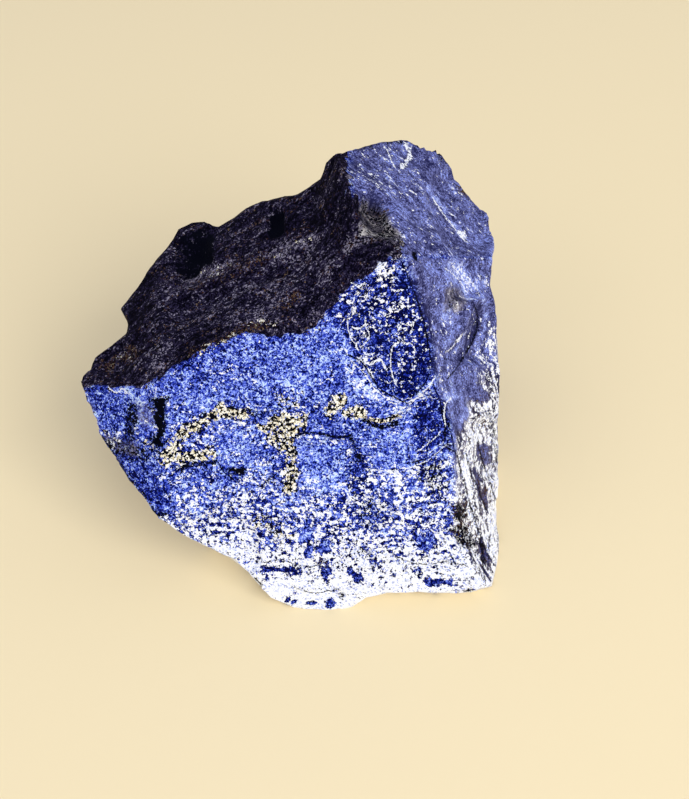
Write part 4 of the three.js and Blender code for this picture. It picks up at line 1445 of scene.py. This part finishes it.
@dataclass(frozen=True)
class CrustSpread:
    """Where the dark crust and the slate-blue rock are; on the top face the crust's black is partly
    painted shade.

    Attributes:
        ragged: The noise that makes their borders ragged.
        top_ragged: How much of it the top's front edge takes.
        border: How far inside its border the crust starts, and how far in it is whole.
        spill: How far the crust spills over the stone's outline.
        spill_ragged: How much of the ragged noise the spill takes.
        patches: The noise of the crust's patches on the hidden sides.
        patch_ragged: How much of the ragged noise the patches take.
        patch_loss: How much the patches are held back at their middle height.
        patch_rise: How much less so for each millimetre up.
        patch_height: Their middle height.
        hidden_border: As the border, on the hidden sides.
        slate_border: As the border, for the slate-blue rock.
        slate_ragged: How much of the ragged noise its border takes.
        hidden_slate: The values of noise between which it grows on the hidden sides.
        slate_size: The size of that noise.
    """

    ragged: Parts = ((0.9, 0.8), (0.6, 2.2))
    top_ragged: float = 0.5
    border: Span = (-0.3, 0.3)
    spill: float = 2.4
    spill_ragged: float = 1.4
    patches: Parts = BROAD_NOISE
    patch_ragged: float = 0.3
    patch_loss: float = 0.4
    patch_rise: float = 0.05
    patch_height: float = 20.0
    hidden_border: Span = (-0.2, 0.4)
    slate_border: Span = (-0.4, 0.6)
    slate_ragged: float = 0.4
    hidden_slate: Span = (-0.9, 0.5)
    slate_size: float = 7.0

    def amounts(self, ground: Ground) -> dict[str, Array]:
        """Works out how much crust, which spills over the top's rim, and slate-blue rock there is.

        Args:
            ground: The stone's points.

        Returns:
            The amounts of both, by attribute.
        """
        points, x, y = ground.points, ground.x, ground.y
        ragged = mottle(points, self.ragged)
        above = y - along(TOP_EDGE, x) + self.top_ragged * ragged
        left = along(CRUST_EDGE, y) - x + ragged
        crust = smooth(*self.border, np.minimum(above, left))
        spill = self.spill + outside_line(OUTLINE, x, y) + self.spill_ragged * ragged
        patches = mottle(points, self.patches) + self.patch_ragged * ragged
        patches = patches - self.patch_loss + self.patch_rise * (points[:, 2] - self.patch_height)
        spilt = np.minimum(np.minimum(spill, above), left)
        hidden_crust = smooth(*self.hidden_border, np.maximum(spilt, patches))
        _, corner_y = CORNER
        beyond = np.where(y > corner_y, np.minimum(y - corner_y, -left), x - along(RIGHT_EDGE, y))
        slate = smooth(*self.slate_border, beyond + self.slate_ragged * ragged)
        hidden_slate = smooth(*self.hidden_slate, noise(points / self.slate_size))
        return {
            Stain.CRUST.value: np.where(ground.drawn, crust, hidden_crust),
            Stain.SLATE.value: np.where(ground.drawn, slate, hidden_slate),
        }


@dataclass(frozen=True)
class CalciteSpread:
    """The salt of calcite all over the stone, which grows into the white foot.

    Attributes:
        uneven: The noise that makes it uneven.
        uneven_share: How much of that noise it takes.
        foot_start: How high up the leaning plane the foot starts.
        foot_fall: How far down from there it takes to be one step whiter.
        back_start: How deep behind the leaning plane it gets whiter too.
        back_gain: How many steps it gains for each millimetre deeper.
        most: The most steps that it gains.
        salt: How much calcite there is all over.
        foot_salt: How much more there is from the foot's start.
        foot_edge: The steps between which that comes in.
        foot_gain: How much more there is for each step.
        slate_share: How much slate-blue there is in rock that counts as slate-blue.
        slate_loss: How much less calcite is in that, and on the hidden sides.
    """

    uneven: Parts = BROAD_NOISE
    uneven_share: float = 0.3
    foot_start: float = -10.0
    foot_fall: float = 8.0
    back_start: float = -3.0
    back_gain: float = 0.17
    most: float = 2.2
    salt: float = 0.08
    foot_salt: float = 0.2
    foot_edge: Span = (-0.5, 0.2)
    foot_gain: float = 0.28
    slate_share: float = 0.5
    slate_loss: float = 0.16

    def amount(self, ground: Ground, slate: Array) -> Array:
        """Works out how much calcite there is.

        Args:
            ground: The stone's points.
            slate: How slate-blue the rock is at each point.

        Returns:
            The amount at each point.
        """
        back = np.clip(self.back_gain * (self.back_start - ground.depth), 0, self.most)
        foot = (self.foot_start - ground.y) / self.foot_fall + back
        foot = foot + self.uneven_share * mottle(ground.points, self.uneven)
        calcite = self.salt + self.foot_salt * smooth(*self.foot_edge, foot)
        calcite = calcite + self.foot_gain * np.clip(foot, 0, self.most)
        plain = ground.drawn & (slate < self.slate_share)
        return np.where(plain, calcite, calcite - self.slate_loss)


@dataclass
class Markings:
    """Works out how much of each stain there is over the stone.

    Attributes:
        wander: How far the markings' rims wander.
        wander_size: The size of those wanders.
        crack_depth: How deep a wholly dark mark is worn in, a gap or a recess whose dark is painted
            shade.
        crust: Where the crust and the slate-blue rock are.
        calcite: Where the calcite is, apart from its own markings.
    """

    wander: float = 0.45
    wander_size: float = 1.3
    crack_depth: float = 0.3
    crust: CrustSpread = CrustSpread()
    calcite: CalciteSpread = CalciteSpread()

    def amounts(self, surface: StoneSurface) -> dict[str, Array]:
        """Works out what the mesh's attributes hold.

        Args:
            surface: The stone's surface.

        Returns:
            For each attribute, by name, a number at each point of the surface.
        """
        x, y, depth, _ = PLANE.seen(surface.points)
        drawn = (surface.sides != Side.HIDDEN.value) & (surface.sides != Side.REST.value)
        ground = Ground(surface.points, x, y, depth, drawn)
        shift = self.wander * noise(ground.points / self.wander_size)
        other = self.wander * noise(ground.points[:, [1, 2, 0]] / self.wander_size)
        totals = {stain.value: np.zeros(len(x)) for stain in Stain}
        for stain, marks in MARKINGS.items():
            for mark in marks:
                here = np.where(drawn, mark.amount(x + shift, y + other), 0)
                totals[stain.value] = np.maximum(totals[stain.value], here)
        totals |= self.crust.amounts(ground)
        calcite = self.calcite.amount(ground, totals[Stain.SLATE.value])
        totals[Stain.CALCITE.value] = np.maximum(totals[Stain.CALCITE.value], calcite)
        for stain, hairlines in HAIRLINES.items():
            offset, width = self.nearest(hairlines, ground)
            totals[stain.value] = np.where(drawn, width, 0)
            totals[f"{stain.value}_offset"] = offset
        return totals

    def nearest(self, hairlines: Sequence[Hairline], ground: Ground) -> tuple[Array, Array]:
        """Measures points against the nearest hairline.

        Args:
            hairlines: The hairlines.
            ground: The stone's points.

        Returns:
            How far to the left of the nearest hairline each point is, and the half width to draw.
        """
        nearest, offset, width = hairlines[0].measure(ground.x, ground.y)
        for hairline in hairlines[1:]:
            away, side, wide = hairline.measure(ground.x, ground.y)
            closer = away < nearest
            offset = np.where(closer, side, offset)
            width = np.where(closer, wide, width)
            nearest = np.minimum(nearest, away)
        return offset, width

    def dress(self, amounts: dict[str, Array], piece: bpy.types.Object) -> None:
        """Writes the amounts to the piece's mesh as attributes.

        Args:
            amounts: The attributes, by name.
            piece: The stone's visible piece.
        """
        for name, amount in amounts.items():
            layer = piece.data.attributes.new(name, "FLOAT", "POINT")
            layer.data.foreach_set("value", amount.astype(np.float32))


# ---------------- materials

# a noise node's middle value, taken off so that the pattern runs about 0
NOISE_MIDDLE = 0.5


def linear(colour: str, alpha: float = 1.0) -> tuple[float, float, float, float]:
    """Turns an sRGB hex colour to linear numbers.

    Args:
        colour: The colour, as # and six hex digits.
        alpha: How opaque it is.

    Returns:
        Its linear red, green and blue, and the alpha.
    """
    shares = [int(colour[i : i + 2], 16) / 255 for i in (1, 3, 5)]
    values = [c / 12.92 if c <= 0.04045 else ((c + 0.055) / 1.055) ** 2.4 for c in shares]
    return (*values, alpha)


@dataclass
class Sheet:
    """A material's node sheet."""

    tree: bpy.types.NodeTree

    def add(
        self, kind: str, inputs: Sequence[Source] | dict[str, Source] = (), **settings: Any
    ) -> Node:
        """Adds a node with its settings and links.

        Args:
            kind: The node's type, after the words that all the shader nodes' types start with.
            inputs: What feeds its inputs, in their order or by their names: a node, one of a
                node's outputs, or a value.
            **settings: The node's own settings, with a ramp's colours as stops.

        Returns:
            The node. Where it feeds another, its first output in use does so.
        """
        node = self.tree.nodes.new(f"ShaderNode{kind}")
        for number, (place, colour) in enumerate(settings.pop("stops", ())):
            stops = node.color_ramp.elements
            stop = stops[number] if number < len(stops) else stops.new(place)
            stop.position = place
            stop.color = linear(colour)
        for name, value in settings.items():
            setattr(node, name, value)
        in_use = [socket for socket in node.inputs if socket.enabled]
        if isinstance(inputs, dict):
            pairs = [(node.inputs[name], source) for name, source in inputs.items()]
        else:
            pairs = list(zip(in_use, inputs))
        for socket, source in pairs:
            if isinstance(source, Node):
                source = next(output for output in source.outputs if output.enabled)
            if isinstance(source, bpy.types.NodeSocket):
                self.tree.links.new(source, socket)
            else:
                socket.default_value = source
        return node

    def total(self, start: Source, *terms: tuple[float, Source]) -> Source:
        """Adds patterns up, each times its weight.

        Args:
            start: What they are added to.
            *terms: The weight of each pattern, and the pattern.

        Returns:
            The total.
        """
        for weight, pattern in terms:
            start = self.add("Math", (pattern, weight, start), operation="MULTIPLY_ADD")
        return start


def blank_material(name: str) -> tuple[bpy.types.Material, Sheet]:
    """Makes a material with a blank node sheet.

    Args:
        name: The material's name.

    Returns:
        The material and its sheet.
    """
    material = bpy.data.materials.new(name)
    material.use_nodes = True
    material.node_tree.nodes.clear()
    return material, Sheet(material.node_tree)


@dataclass(frozen=True)
class Rock:
    """The rock's patterns, which all its minerals share.

    Attributes:
        sheet: The material's sheet.
        place: The place on the stone, in millimetres.
        amount: How much there is of each stain.
        grain: Three random numbers for each grain.
        grain_edge: How near the edge of its grain a point is.
        crumb: Three random numbers for each crumb, which is a larger grain.
        crumb_edge: How near the edge of its crumb a point is.
        clump: A soft pattern about 0, as large as a clump of grains.
        other_clump: Another one.
        cloud: A softer and larger pattern about 0.
        leaf: Streaks about 0 that lie flat in the rock's layers.
        dash: Shorter and finer streaks that do so.
        ply: Level streaks about 0.
    """

    sheet: Sheet
    place: Source
    amount: dict[Stain, Source]
    grain: Sequence[Source]
    grain_edge: Source
    crumb: Sequence[Source]
    crumb_edge: Source
    clump: Source
    other_clump: Source
    cloud: Source
    leaf: Source
    dash: Source
    ply: Source


@dataclass(frozen=True)
class Patterns:
    """The sizes of the rock's patterns, in millimetres.

    Lazurite is sugary, with grains of about a fifth of a millimetre, and the crumbs of calcite and
    pyrite are twice that. The layers are as thin as a leaf of card and a few millimetres long.
    """

    grain: float = 0.18
    crumb: float = 0.42
    clump: float = 1.5
    cloud: float = 6.0
    leaf: float = 0.8
    leaf_length: float = 5.0
    dash: float = 0.28
    dash_length: float = 1.0
    ply: float = 0.5
    ply_length: float = 3.0

    def lay(self, sheet: Sheet) -> Rock:
        """Lays the patterns out on a material's sheet.

        Args:
            sheet: The sheet.

        Returns:
            The patterns.
        """
        place = sheet.add("TexCoord").outputs["Object"]
        place = sheet.add("VectorMath", (place, 1 / MM), operation="SCALE")
        wobble = sheet.add("TexNoise", {"Vector": place, "Scale": 1 / self.crumb, "Detail": 2.0})
        inputs = (wobble.outputs["Color"], (self.crumb,) * 3, place)
        moved = sheet.add("VectorMath", inputs, operation="MULTIPLY_ADD")
        grains = sheet.add("TexVoronoi", {"Vector": moved, "Scale": 1 / self.grain})
        crumbs = sheet.add("TexVoronoi", {"Vector": moved, "Scale": 1 / self.crumb})
        clumps = sheet.add(
            "TexNoise", {"Vector": place, "Scale": 1 / self.clump, "Detail": 3.0, "Roughness": 0.65}
        )
        clump_parts = sheet.add("SeparateColor", (clumps.outputs["Color"],)).outputs
        clouds = sheet.add(
            "TexNoise", {"Vector": place, "Scale": 1 / self.cloud, "Detail": 3.0, "Roughness": 0.55}
        )
        turn = Vector(LAYERS.facing()).to_track_quat("Z", "Y").to_euler()
        leaf = (self.leaf_length, self.leaf_length, self.leaf)
        dash = (self.dash_length, self.dash_length, self.dash)
        ply = (self.ply_length, self.ply, self.ply)
        streaks = []
        for size, rotation in ((leaf, turn), (dash, turn), (ply, (0.0, 0.0, 0.0))):
            inputs = {"Vector": place, "Rotation": rotation, "Scale": size}
            laid = sheet.add("Mapping", inputs, vector_type="TEXTURE")
            inputs = {"Vector": laid, "Scale": 1.0, "Detail": 3.0, "Roughness": 0.6}
            streaks.append(sheet.total(-NOISE_MIDDLE, (1.0, sheet.add("TexNoise", inputs))))
        return Rock(
            sheet=sheet,
            place=place,
            amount={
                stain: sheet.add("Attribute", attribute_name=stain.value).outputs["Fac"]
                for stain in Stain
            },
            grain=sheet.add("SeparateColor", (grains.outputs["Color"],)).outputs,
            grain_edge=grains.outputs["Distance"],
            crumb=sheet.add("SeparateColor", (crumbs.outputs["Color"],)).outputs,
            crumb_edge=crumbs.outputs["Distance"],
            clump=sheet.total(-NOISE_MIDDLE, (1.0, clumps)),
            other_clump=sheet.total(-NOISE_MIDDLE, (1.0, clump_parts[1])),
            cloud=sheet.total(-NOISE_MIDDLE, (1.0, clouds)),
            leaf=streaks[0],
            dash=streaks[1],
            ply=streaks[2],
        )


@dataclass(frozen=True)
class Lazurite:
    """Sugary blue lazurite: grains from navy to azure, darker where white calcite is about."""

    shades: Stops = (
        (0.0, "#01032A"), (0.25, "#04106C"), (0.4, "#2437AE"), (0.58, "#566CE0"),
        (0.78, "#92A8FA"), (0.94, "#CAE0FC"),
    )
    veinlet: float = 0.34
    crevice: float = -0.36
    line_width: float = 0.035

    def line(self, rock: Rock, pattern: Source) -> Source:
        """Draws fine broken lines where a pattern passes 0.

        Args:
            rock: The rock's patterns.
            pattern: The pattern.

        Returns:
            1 on the lines and 0 elsewhere.
        """
        away = rock.sheet.add("Math", (pattern,), operation="ABSOLUTE")
        width = rock.sheet.add("Math", (rock.crumb[2], self.line_width), operation="MULTIPLY")
        return rock.sheet.add("Math", (away, width), operation="LESS_THAN")

    def colour(self, rock: Rock) -> Source:
        """Mixes the colour of the blue rock.

        Args:
            rock: The rock's patterns.

        Returns:
            The colour.
        """
        sheet, amount = rock.sheet, rock.amount
        # pale marks lift the blue, painted highlights on rims among them, and deep marks sink it,
        # painted shade among them
        shade = sheet.total(
            -0.03, (0.78, rock.grain[0]), (0.24, rock.crumb[0]), (0.8, rock.clump),
            (0.5, rock.cloud), (0.28, amount[Stain.PALE]), (0.26, amount[Stain.LAPIS]),
            (-0.34, amount[Stain.DEEP]), (-0.42, amount[Stain.CALCITE]),
            (self.veinlet, self.line(rock, rock.other_clump)),
            (self.crevice, self.line(rock, rock.clump)),
        )
        return sheet.add("ValToRGB", (shade,), stops=self.shades)


@dataclass(frozen=True)
class Slate:
    """Slate-blue rock of the flank: greyer and finer, in soft streaks along its layers."""

    shades: Stops = (
        (0.28, "#22244F"), (0.4, "#3C3E6D"), (0.5, "#545788"), (0.65, "#757BBA"),
        (0.8, "#8A9AEC"), (1.0, "#C6D6FC"),
    )

    def over(self, rock: Rock, under: Source) -> Source:
        """Covers the colour under it where the rock is slate.

        Args:
            rock: The rock's patterns.
            under: The colour under it.

        Returns:
            The colour with it on top.
        """
        sheet, amount = rock.sheet, rock.amount
        # the pale marks bring painted highlights to the flank's facets, and the deep marks painted
        # shade on the shoulder, beside the arc edge and along the ridge
        shade = sheet.total(
            0.26, (0.6, rock.leaf), (0.3, rock.dash), (0.46, rock.grain[0]), (0.6, rock.clump),
            (0.5, rock.cloud), (0.34, amount[Stain.PALE]), (-0.4, amount[Stain.DEEP]),
        )
        slate = sheet.add("ValToRGB", (shade,), stops=self.shades)
        return sheet.add("Mix", (amount[Stain.SLATE], under, slate), data_type="RGBA")


@dataclass(frozen=True)
class Earth:
    """Weathered rock, grey-brown and laminated, with brown dust in its pores."""

    shades: Stops = (
        (0.16, "#0E0B14"), (0.36, "#3A3540"), (0.54, "#706A74"), (0.74, "#A49E9E"),
        (0.96, "#DCD8D2"),
    )
    dust: Stops = ((0.0, "#120A0C"), (0.5, "#3A221C"), (1.0, "#6C5A48"))

    def over(self, rock: Rock, under: Source) -> Source:
        """Covers the colour under it where the rock is weathered or dusty.

        Args:
            rock: The rock's patterns.
            under: The colour under it.

        Returns:
            The colour with it on top.
        """
        sheet, amount = rock.sheet, rock.amount
        shade = sheet.total(
            0.34, (1.6, rock.leaf), (0.3, rock.grain[2]), (0.6, rock.clump), (0.5, rock.other_clump)
        )
        earth = sheet.add("ValToRGB", (shade,), stops=self.shades)
        bare = sheet.total(0.0, (1.0, amount[Stain.EARTH]), (-1.0, amount[Stain.LAPIS]))
        under = sheet.add("Mix", (bare, under, earth), data_type="RGBA")
        dusty = sheet.total(-0.08, (1.0, amount[Stain.RUST]), (0.8, rock.clump))
        dusty = sheet.add("Math", (dusty, rock.grain[1]), operation="GREATER_THAN")
        dust = sheet.add("ValToRGB", (rock.grain[0],), stops=self.dust)
        return sheet.add("Mix", (dusty, under, dust), data_type="RGBA")


@dataclass(frozen=True)
class Calcite:
    """White calcite: more of the grains are white where there is more of it."""

    shades: Stops = ((0.0, "#8E9CDC"), (0.15, "#D6DEF7"), (0.32, "#F4F6FD"), (1.0, "#FDFDFA"))

    def over(self, rock: Rock, under: Source) -> Source:
        """Covers the colour under it with white grains.

        Args:
            rock: The rock's patterns.
            under: The colour under it.

        Returns:
            The colour with it on top.
        """
        sheet, amount = rock.sheet, rock.amount
        pick = sheet.total(0.0, (0.4, rock.grain[1]), (0.6, rock.crumb[1]))
        layered = sheet.add("Math", (rock.leaf, amount[Stain.SLATE]), operation="MULTIPLY")
        plenty = sheet.total(
            amount[Stain.CALCITE], (0.7, rock.other_clump), (0.4, rock.leaf), (1.1, rock.ply),
            (1.15, layered), (-1.3, amount[Stain.LAPIS]),
        )
        share = sheet.add("Math", (plenty, pick), operation="GREATER_THAN")
        white = sheet.add("ValToRGB", (rock.grain[0],), stops=self.shades)
        return sheet.add("Mix", (share, under, white), data_type="RGBA")


@dataclass(frozen=True)
class CrustAndPaintedShade:
    """Dull navy-black crust, violet-grey along its layers; partly painted shade on the top face."""

    # the dark stops paint the top face near black: partly its dark rind, partly painted shade
    shades: Stops = (
        (0.2, "#010008"), (0.42, "#070514"), (0.62, "#1B162E"), (0.82, "#37324B"),
        (1.0, "#8A8496"),
    )

    def over(self, rock: Rock, under: Source) -> Source:
        """Covers the colour under it where there is crust.

        Args:
            rock: The rock's patterns.
            under: The colour under it.

        Returns:
            The colour with it on top.
        """
        sheet, amount = rock.sheet, rock.amount
        shade = sheet.total(
            0.0, (0.7, rock.grain[2]), (0.24, rock.crumb[2]), (0.4, rock.clump), (0.8, rock.leaf),
            (0.9, rock.dash), (0.4, rock.cloud), (0.3, amount[Stain.PALE]),
        )
        crust = sheet.add("ValToRGB", (shade,), stops=self.shades)
        ragged = sheet.total(-2.1, (4.0, amount[Stain.CRUST]), (1.2, rock.grain[0]))
        under = sheet.add("Mix", (ragged, under, crust), data_type="RGBA")
        dusty = sheet.total(amount[Stain.RUST], (1.0, rock.clump), (-0.85, rock.grain[1]))
        dusty = sheet.add("Math", (dusty, amount[Stain.CRUST]), operation="MULTIPLY")
        dusty = sheet.add("Math", (dusty, 0.0), operation="GREATER_THAN")
        dust = sheet.add("ValToRGB", (rock.grain[0],), stops=Earth().dust)
        return sheet.add("Mix", (dusty, under, dust), data_type="RGBA")


@dataclass(frozen=True)
class Pyrite:
    """Pyrite among cream calcite: pale gold crumbs that glint, with black gaps between them."""

    shades: Stops = ((0.0, "#8C7A50"), (0.2, "#D2C69E"), (0.45, "#F4EEDA"), (1.0, "#FFFDF6"))
    gap_colour: str = "#06060F"
    least: float = 0.05

    def glint(self, rock: Rock) -> Source:
        """Picks the crumbs that are pyrite.

        Args:
            rock: The rock's patterns.

        Returns:
            1 on the crumbs and 0 elsewhere.
        """
        sheet = rock.sheet
        pick = sheet.total(0.0, (0.6, rock.crumb[2]), (0.4, rock.grain[2]))
        plenty = sheet.total(0.0, (1.5, rock.amount[Stain.PYRITE]), (1.0, rock.clump))
        picked = sheet.add("Math", (plenty, pick), operation="GREATER_THAN")
        return sheet.add("Math", (picked, self.anywhere(rock)), operation="MULTIPLY")

    def anywhere(self, rock: Rock) -> Source:
        """Where there may be some: 1 there and 0 elsewhere."""
        pyrite = rock.amount[Stain.PYRITE]
        return rock.sheet.add("Math", (pyrite, self.least), operation="GREATER_THAN")

    def over(self, rock: Rock, under: Source) -> Source:
        """Covers the colour under it with crumbs and the gaps between them.

        Args:
            rock: The rock's patterns.
            under: The colour under it.

        Returns:
            The colour with it on top.
        """
        sheet = rock.sheet
        gold = sheet.add("ValToRGB", (rock.grain[1],), stops=self.shades)
        under = sheet.add("Mix", (self.glint(rock), under, gold), data_type="RGBA")
        gap = sheet.total(
            -0.84, (0.8, rock.crumb_edge), (0.5, rock.amount[Stain.PYRITE]), (0.5, rock.clump),
            (0.35, rock.grain[0]),
        )
        gap = sheet.add("Math", (gap, self.anywhere(rock)), operation="MULTIPLY")
        gap = sheet.add("Math", (gap, 0.0), operation="GREATER_THAN")
        return sheet.add("Mix", (gap, under, linear(self.gap_colour)), data_type="RGBA")


@dataclass(frozen=True)
class GapsAndPaintedShade:
    """Dark gaps, smudges and painted shade, and hairlines: calcite in healed cracks, black in open
    ones, and a few painted shadow and highlight lines.
    """

    black: str = "#03040F"
    white: str = "#EEF1F8"
    shade: float = 0.45
    wobble: float = 0.35
    grain_wobble: float = 0.14

    def over(self, rock: Rock, under: Source) -> Source:
        """Draws the gaps, the painted shade and the hairlines over a colour.

        Args:
            rock: The rock's patterns.
            under: The colour under it.

        Returns:
            The colour with them on top.
        """
        sheet, amount = rock.sheet, rock.amount
        black = linear(self.black)
        # the dark marks are gaps and smudges, and also painted shade on rims, in recesses and beside
        # steps
        shaded = sheet.add("Math", (amount[Stain.DARK], self.shade), operation="MULTIPLY")
        under = sheet.add("Mix", (shaded, under, black), data_type="RGBA")
        dark = sheet.total(amount[Stain.DARK], (0.9, rock.clump), (0.5, rock.leaf), (0.3, rock.ply))
        pick = sheet.total(0.14, (0.7, rock.grain[2]))
        darkness = sheet.add("Math", (dark, pick), operation="GREATER_THAN")
        under = sheet.add("Mix", (darkness, under, black), data_type="RGBA")
        # the open cracks carry painted shadow along the front-flank ridge, and the veins two painted
        # highlights
        under = sheet.add("Mix", (self.drawn(rock, Stain.CRACK_AND_RIDGE_SHADE), under, black), data_type="RGBA")
        white = linear(self.white)
        return sheet.add("Mix", (self.drawn(rock, Stain.VEIN_AND_GLINT), under, white), data_type="RGBA")

    def drawn(self, rock: Rock, stain: Stain) -> Source:
        """Draws the hairlines of a kind.

        Args:
            rock: The rock's patterns.
            stain: The kind of hairline.

        Returns:
            1 on the hairlines and 0 elsewhere.
        """
        sheet = rock.sheet
        offset = sheet.add("Attribute", attribute_name=f"{stain.value}_offset").outputs["Fac"]
        offset = sheet.total(
            offset, (self.wobble, rock.clump), (self.wobble, rock.other_clump),
            (self.grain_wobble, rock.grain[1]),
        )
        away = sheet.add("Math", (offset,), operation="ABSOLUTE")
        broken = sheet.total(0.05, (1.2, rock.grain[0]), (1.6, rock.clump))
        width = sheet.add("Math", (rock.amount[stain], broken), operation="MULTIPLY")
        return sheet.add("Math", (away, width), operation="LESS_THAN")


@dataclass(frozen=True)
class BrokenSurface:
    """The feel of a fresh break: sugary grains that stand out, dull but for the pyrite's glints."""

    tooth: float = 0.2
    depth: float = 0.15
    strength: float = 0.55
    roughness: float = 0.55
    metallic: float = 0.3
    ior: float = 1.5
    specular: float = 0.03

    def shader(self, rock: Rock, colour: Source, glint: Source) -> Node:
        """Makes the shader.

        Args:
            rock: The rock's patterns.
            colour: The colour of the surface.
            glint: Where there is pyrite.

        Returns:
            The shader's node.
        """
        sheet = rock.sheet
        inputs = {"Vector": rock.place, "Scale": 1 / self.tooth, "Detail": 2.0, "Roughness": 0.6}
        tooth = sheet.add("TexNoise", inputs)
        height = sheet.total(tooth, (-0.6, rock.grain_edge), (1.2, rock.clump))
        depth = self.depth * MM
        bump = sheet.add("Bump", {"Height": height, "Strength": self.strength, "Distance": depth})
        roughness = sheet.total(
            self.roughness, (0.2, rock.amount[Stain.CRUST]), (0.2, rock.grain[2]), (-0.25, glint)
        )
        return sheet.add(
            "BsdfPrincipled",
            {
                "Base Color": colour,
                "Metallic": sheet.add("Math", (glint, self.metallic), operation="MULTIPLY"),
                "Roughness": roughness,
                "IOR": self.ior,
                "Specular IOR Level": self.specular,
                "Normal": bump,
            },
        )


@dataclass(frozen=True)
class LapisFinish:
    """Rough lapis lazuli, broken and not polished.

    Lazurite gives the salt-and-pepper blue, calcite the white, pyrite the pale gold glints, and
    weathering the dull crust, which on the top face is partly painted shade, and the brown dust.
    Some dark, deep and pale marks and hairlines are painted shade and painted highlights.
    """

    patterns: Patterns = Patterns()
    pyrite: Pyrite = Pyrite()

    def material(self) -> bpy.types.Material:
        """Builds the material.

        Returns:
            The material.
        """
        material, sheet = blank_material("rough_lapis_lazuli")
        rock = self.patterns.lay(sheet)
        colour = Lazurite().colour(rock)
        for mineral in (Slate(), Earth(), Calcite(), CrustAndPaintedShade(), self.pyrite, GapsAndPaintedShade()):
            colour = mineral.over(rock, colour)
        shader = BrokenSurface().shader(rock, colour, self.pyrite.glint(rock))
        sheet.add("OutputMaterial", {"Surface": shader})
        return material


@dataclass(frozen=True)
class FloorFinish:
    """Matt cream board, which gives a pale plain ground and soft shadows."""

    colour: str = "#F4E2B8"
    roughness: float = 0.9

    def material(self) -> bpy.types.Material:
        """Builds the material.

        Returns:
            The material.
        """
        material, sheet = blank_material("cream_board")
        inputs = {"Base Color": linear(self.colour), "Roughness": self.roughness}
        board = sheet.add("BsdfPrincipled", inputs)
        sheet.add("OutputMaterial", {"Surface": board})
        return material


# ---------------- the stone and its studio


@dataclass
class LapisStone:
    """The rough stone: one lump of rock, so one piece."""

    name: str = "lapis_stone_surface"
    form: StoneForm = field(default_factory=StoneForm)
    surface: StoneSurface = field(default_factory=StoneSurface)
    markings: Markings = field(default_factory=Markings)
    finish: LapisFinish = field(default_factory=LapisFinish)

    def build(self, solid: bpy.types.Object) -> bpy.types.Object:
        """Builds and dresses the stone.

        Args:
            solid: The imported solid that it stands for.

        Returns:
            The stone's visible piece.
        """
        self.surface.build(solid, self.form)
        amounts = self.markings.amounts(self.surface)
        self.surface.wear(self.markings.crack_depth * amounts[Stain.DARK.value])
        piece = self.surface.to_object(self.name)
        self.markings.dress(amounts, piece)
        piece.data.materials.append(self.finish.material())
        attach(piece, "root")
        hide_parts(NODE)
        log.info("%s: %d triangles", self.name, len(self.surface.triangles))
        return piece


@dataclass(frozen=True)
class Lamp:
    """A soft square lamp: its place from the stone's middle, its side, and its power in watts."""

    name: str
    place: tuple[float, float, float]
    size: float
    power: float
    colour: str

    def light(self, target: Vector) -> None:
        """Puts the lamp in the scene, turned towards the target.

        Args:
            target: What it lights, in metres.
        """
        data = bpy.data.lights.new(self.name, "AREA")
        data.size = self.size * MM
        data.energy = self.power
        data.color = linear(self.colour)[:3]
        lamp = into_scene(self.name, data)
        place = Vector([share * MM for share in self.place])
        lamp.location = target + place
        lamp.rotation_euler = (-place).to_track_quat("-Z", "Y").to_euler()


@dataclass
class Studio:
    """The camera, the pale floor and the soft light."""

    lens: float = 50.0
    sensor: float = 36.0
    clip_start: float = 10.0
    floor_side: float = 3000.0
    world_colour: str = "#F2F5FF"
    world_strength: float = 0.72
    lamps: tuple[Lamp, ...] = (
        Lamp("key", (380, -400, 420), 450, 2.9, "#FFFDFA"),
        Lamp("fill", (-400, -300, 250), 400, 0.5, "#F2F4FF"),
    )

    def build(self) -> None:
        """Sets up the scene around the stone."""
        target = Vector(SHAPE_ORIGIN) + Vector((0, 0, PLANE.height))
        self.add_camera(target * MM)
        for lamp in self.lamps:
            lamp.light(target * MM)
        self.add_floor()
        self.add_world()
        bpy.context.scene.view_settings.view_transform = "Standard"
        log.info("studio: %d lamps", len(self.lamps))

    def add_camera(self, target: Vector) -> None:
        """Adds the camera, which looks down at the stone square to the leaning plane.

        Args:
            target: What it looks at, in metres.
        """
        data = bpy.data.cameras.new("camera")
        data.lens = self.lens
        data.sensor_width = self.sensor
        data.clip_start = self.clip_start * MM
        camera = into_scene("camera", data)
        away = Vector((0, -math.sin(PLANE.tilt), math.cos(PLANE.tilt)))
        camera.location = target + away * PLANE.eye_distance * MM
        camera.rotation_euler = (PLANE.tilt, 0, 0)
        bpy.context.scene.camera = camera

    def add_floor(self) -> None:
        """Adds the floor that the stone rests on."""
        half = self.floor_side * MM / 2
        mesh = bpy.data.meshes.new("floor")
        corners = [(-half, -half, 0), (half, -half, 0), (half, half, 0), (-half, half, 0)]
        mesh.from_pydata(corners, [], [(0, 1, 2, 3)])
        mesh.materials.append(FloorFinish().material())
        floor = into_scene("floor", mesh)

    def add_world(self) -> None:
        """Lights the whole room softly."""
        world = bpy.data.worlds.new("soft_room")
        world.use_nodes = True
        background = world.node_tree.nodes["Background"]
        background.inputs["Color"].default_value = linear(self.world_colour)
        background.inputs["Strength"].default_value = self.world_strength
        bpy.context.scene.world = world


def main() -> None:
    """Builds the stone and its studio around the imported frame."""
    logging.basicConfig(level=logging.INFO, format="%(name)s: %(message)s")
    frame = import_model()
    LapisStone().build(frame["nodes"][NODE])
    Studio().build()


if __name__ == "__main__":
    main()
